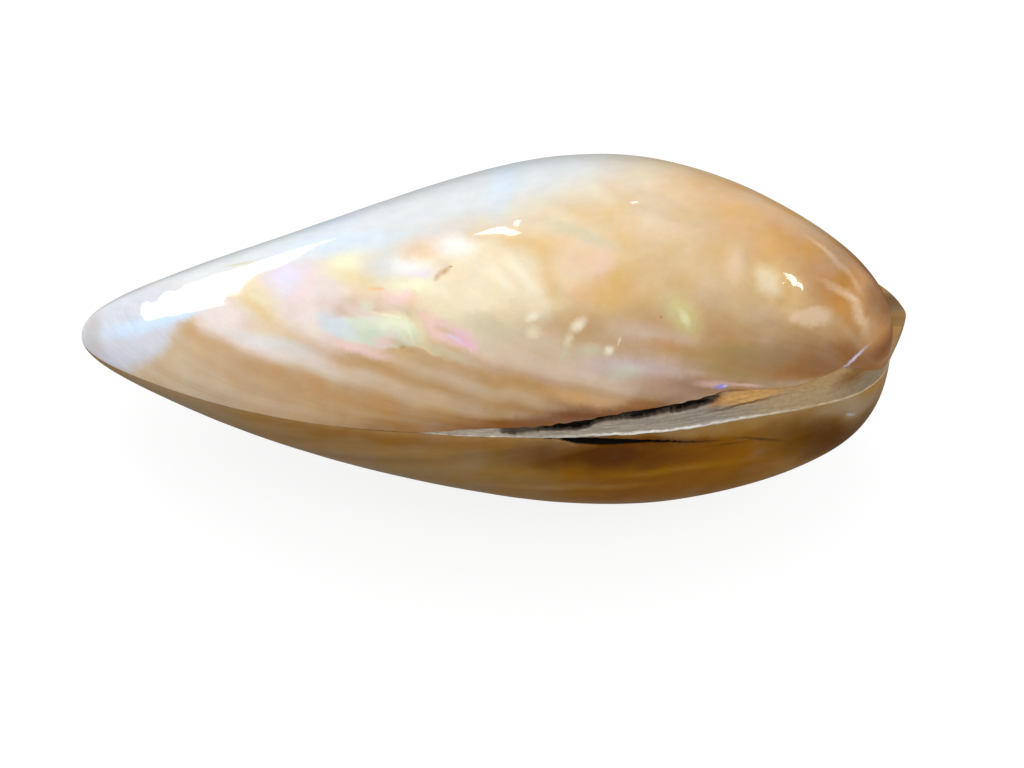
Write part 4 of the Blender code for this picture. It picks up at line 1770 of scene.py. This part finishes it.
@dataclass
class Studio:
    """The floor, the world, the lamps and the camera. The sensor is in millimetres."""

    middle: Vector = field(default_factory=lambda: Vector((0.0, 0.0, 0.024)))
    floor_radius: float = 3.0
    floor_steps: int = 96
    floor_grey: float = 0.20
    floor_glow: float = 0.85
    daylight: float = 0.84
    camera_distance: float = 0.330
    camera_height: float = 33.72
    camera_compass: float = 0.44
    focal_length: float = 81.257
    sensor_width: float = 36.0
    clip_start: float = 0.01
    shift: Span = (0.0253, -0.0563)
    lamps: tuple[Lamp, ...] = (
        Lamp("window", -35.1, 11.8, 0.61, 0.40, 0.06, 0.55, (0.97, 0.99, 1.0), 49.0),
        Lamp("overhead", -60.0, 72.0, 0.80, 0.80, 0.80, 1.2),
        Lamp("glint", 119.7, 44.0, 0.90, 0.04, 0.19, 0.46, turn=-48.0),
        Lamp("strip", -31.0, 45.2, 0.80, 0.022, 0.16, 0.19, turn=-10.0),
        Lamp("spark", -25.0, 41.7, 0.80, 0.012, 0.07, 0.04, turn=-30.0),
        Lamp("fleck", 1.0, 43.0, 0.80, 0.020, 0.03, 0.03, turn=-20.0),
    )

    def _seen(self, graph: Graph) -> bpy.types.NodeSocket:
        """Tells what is looked at from the light that falls on things.

        Args:
            graph: The tree to work on.

        Returns:
            1 for what the camera, a gloss or a clear piece sees, and 0 for light.
        """
        path = graph.node("ShaderNodeLightPath")
        seen = graph.math("MAXIMUM", path.outputs["Is Camera Ray"], path.outputs["Is Glossy Ray"])
        return graph.math("MAXIMUM", seen, path.outputs["Is Transmission Ray"])

    def _world(self) -> None:
        """A world that looks white and lights at a plain level."""
        world = bpy.data.worlds.new("studio")
        world.use_nodes = True
        graph = Graph(world.node_tree)
        background = world.node_tree.nodes["Background"]
        strength = graph.remap(self._seen(graph), 0.0, 1.0, self.daylight, 1.0, False)
        graph.feed(background.inputs["Strength"], strength)
        background.inputs["Color"].default_value = FULL_WHITE
        bpy.context.scene.world = world

    def _floor(self) -> None:
        """A plain pale floor that keeps the shell's shadow."""
        mesh = bmesh.new()
        bmesh.ops.create_circle(mesh, cap_ends=True, segments=self.floor_steps, radius=self.floor_radius)
        data = bpy.data.meshes.new("floor")
        mesh.to_mesh(data)
        mesh.free()
        floor = bpy.data.objects.new("floor", data)
        bpy.context.scene.collection.objects.link(floor)
        material, graph, shader = new_material("floor_paint")
        shader.inputs["Base Color"].default_value = (self.floor_grey,) * 3 + (1.0,)
        shader.inputs["Roughness"].default_value = 1.0
        shader.inputs["Specular IOR Level"].default_value = 0.0
        shader.inputs["Emission Color"].default_value = FULL_WHITE
        glow = graph.math("MULTIPLY", self._seen(graph), self.floor_glow)
        graph.feed(shader.inputs["Emission Strength"], glow)
        data.materials.append(material)

    def _camera(self) -> None:
        """The camera, placed in the shell's own frame and then laid down with it."""
        height, compass = math.radians(self.camera_height), math.radians(self.camera_compass)
        forward = Vector((math.sin(compass) * math.cos(height), math.cos(compass) * math.cos(height),
                          -math.sin(height)))
        right = Vector((math.cos(compass), -math.sin(compass), 0.0))
        above = right.cross(forward)
        local = Matrix((right, above, -forward)).transposed().to_4x4()
        local.translation = -self.camera_distance * forward
        data = bpy.data.cameras.new("camera")
        data.lens = self.focal_length
        data.sensor_width = self.sensor_width
        data.shift_x, data.shift_y = self.shift
        data.clip_start = self.clip_start
        camera = bpy.data.objects.new("camera", data)
        camera.matrix_world = Rest().matrix() @ local
        bpy.context.scene.collection.objects.link(camera)
        bpy.context.scene.camera = camera

    def build(self) -> None:
        """Adds everything round the shell."""
        self._world()
        self._floor()
        for lamp in self.lamps:
            lamp.build(self.middle)
        self._camera()
        bpy.context.scene.view_settings.view_transform = "Standard"


def main() -> None:
    """Builds the shell and its studio, and reports each piece."""
    logging.basicConfig(level=logging.INFO, format="%(message)s")
    Studio().build()
    effects = Effects()
    for part in (UPPER, LOWER, Ligament(UPPER, LOWER, LIGAMENT_FINISH)):
        piece = part.build(effects)
        faces = len(piece.data.polygons)
        LOG.info("%s: %d faces, replaces %s", piece.name, faces, part.node)


if __name__ == "__main__":
    main()
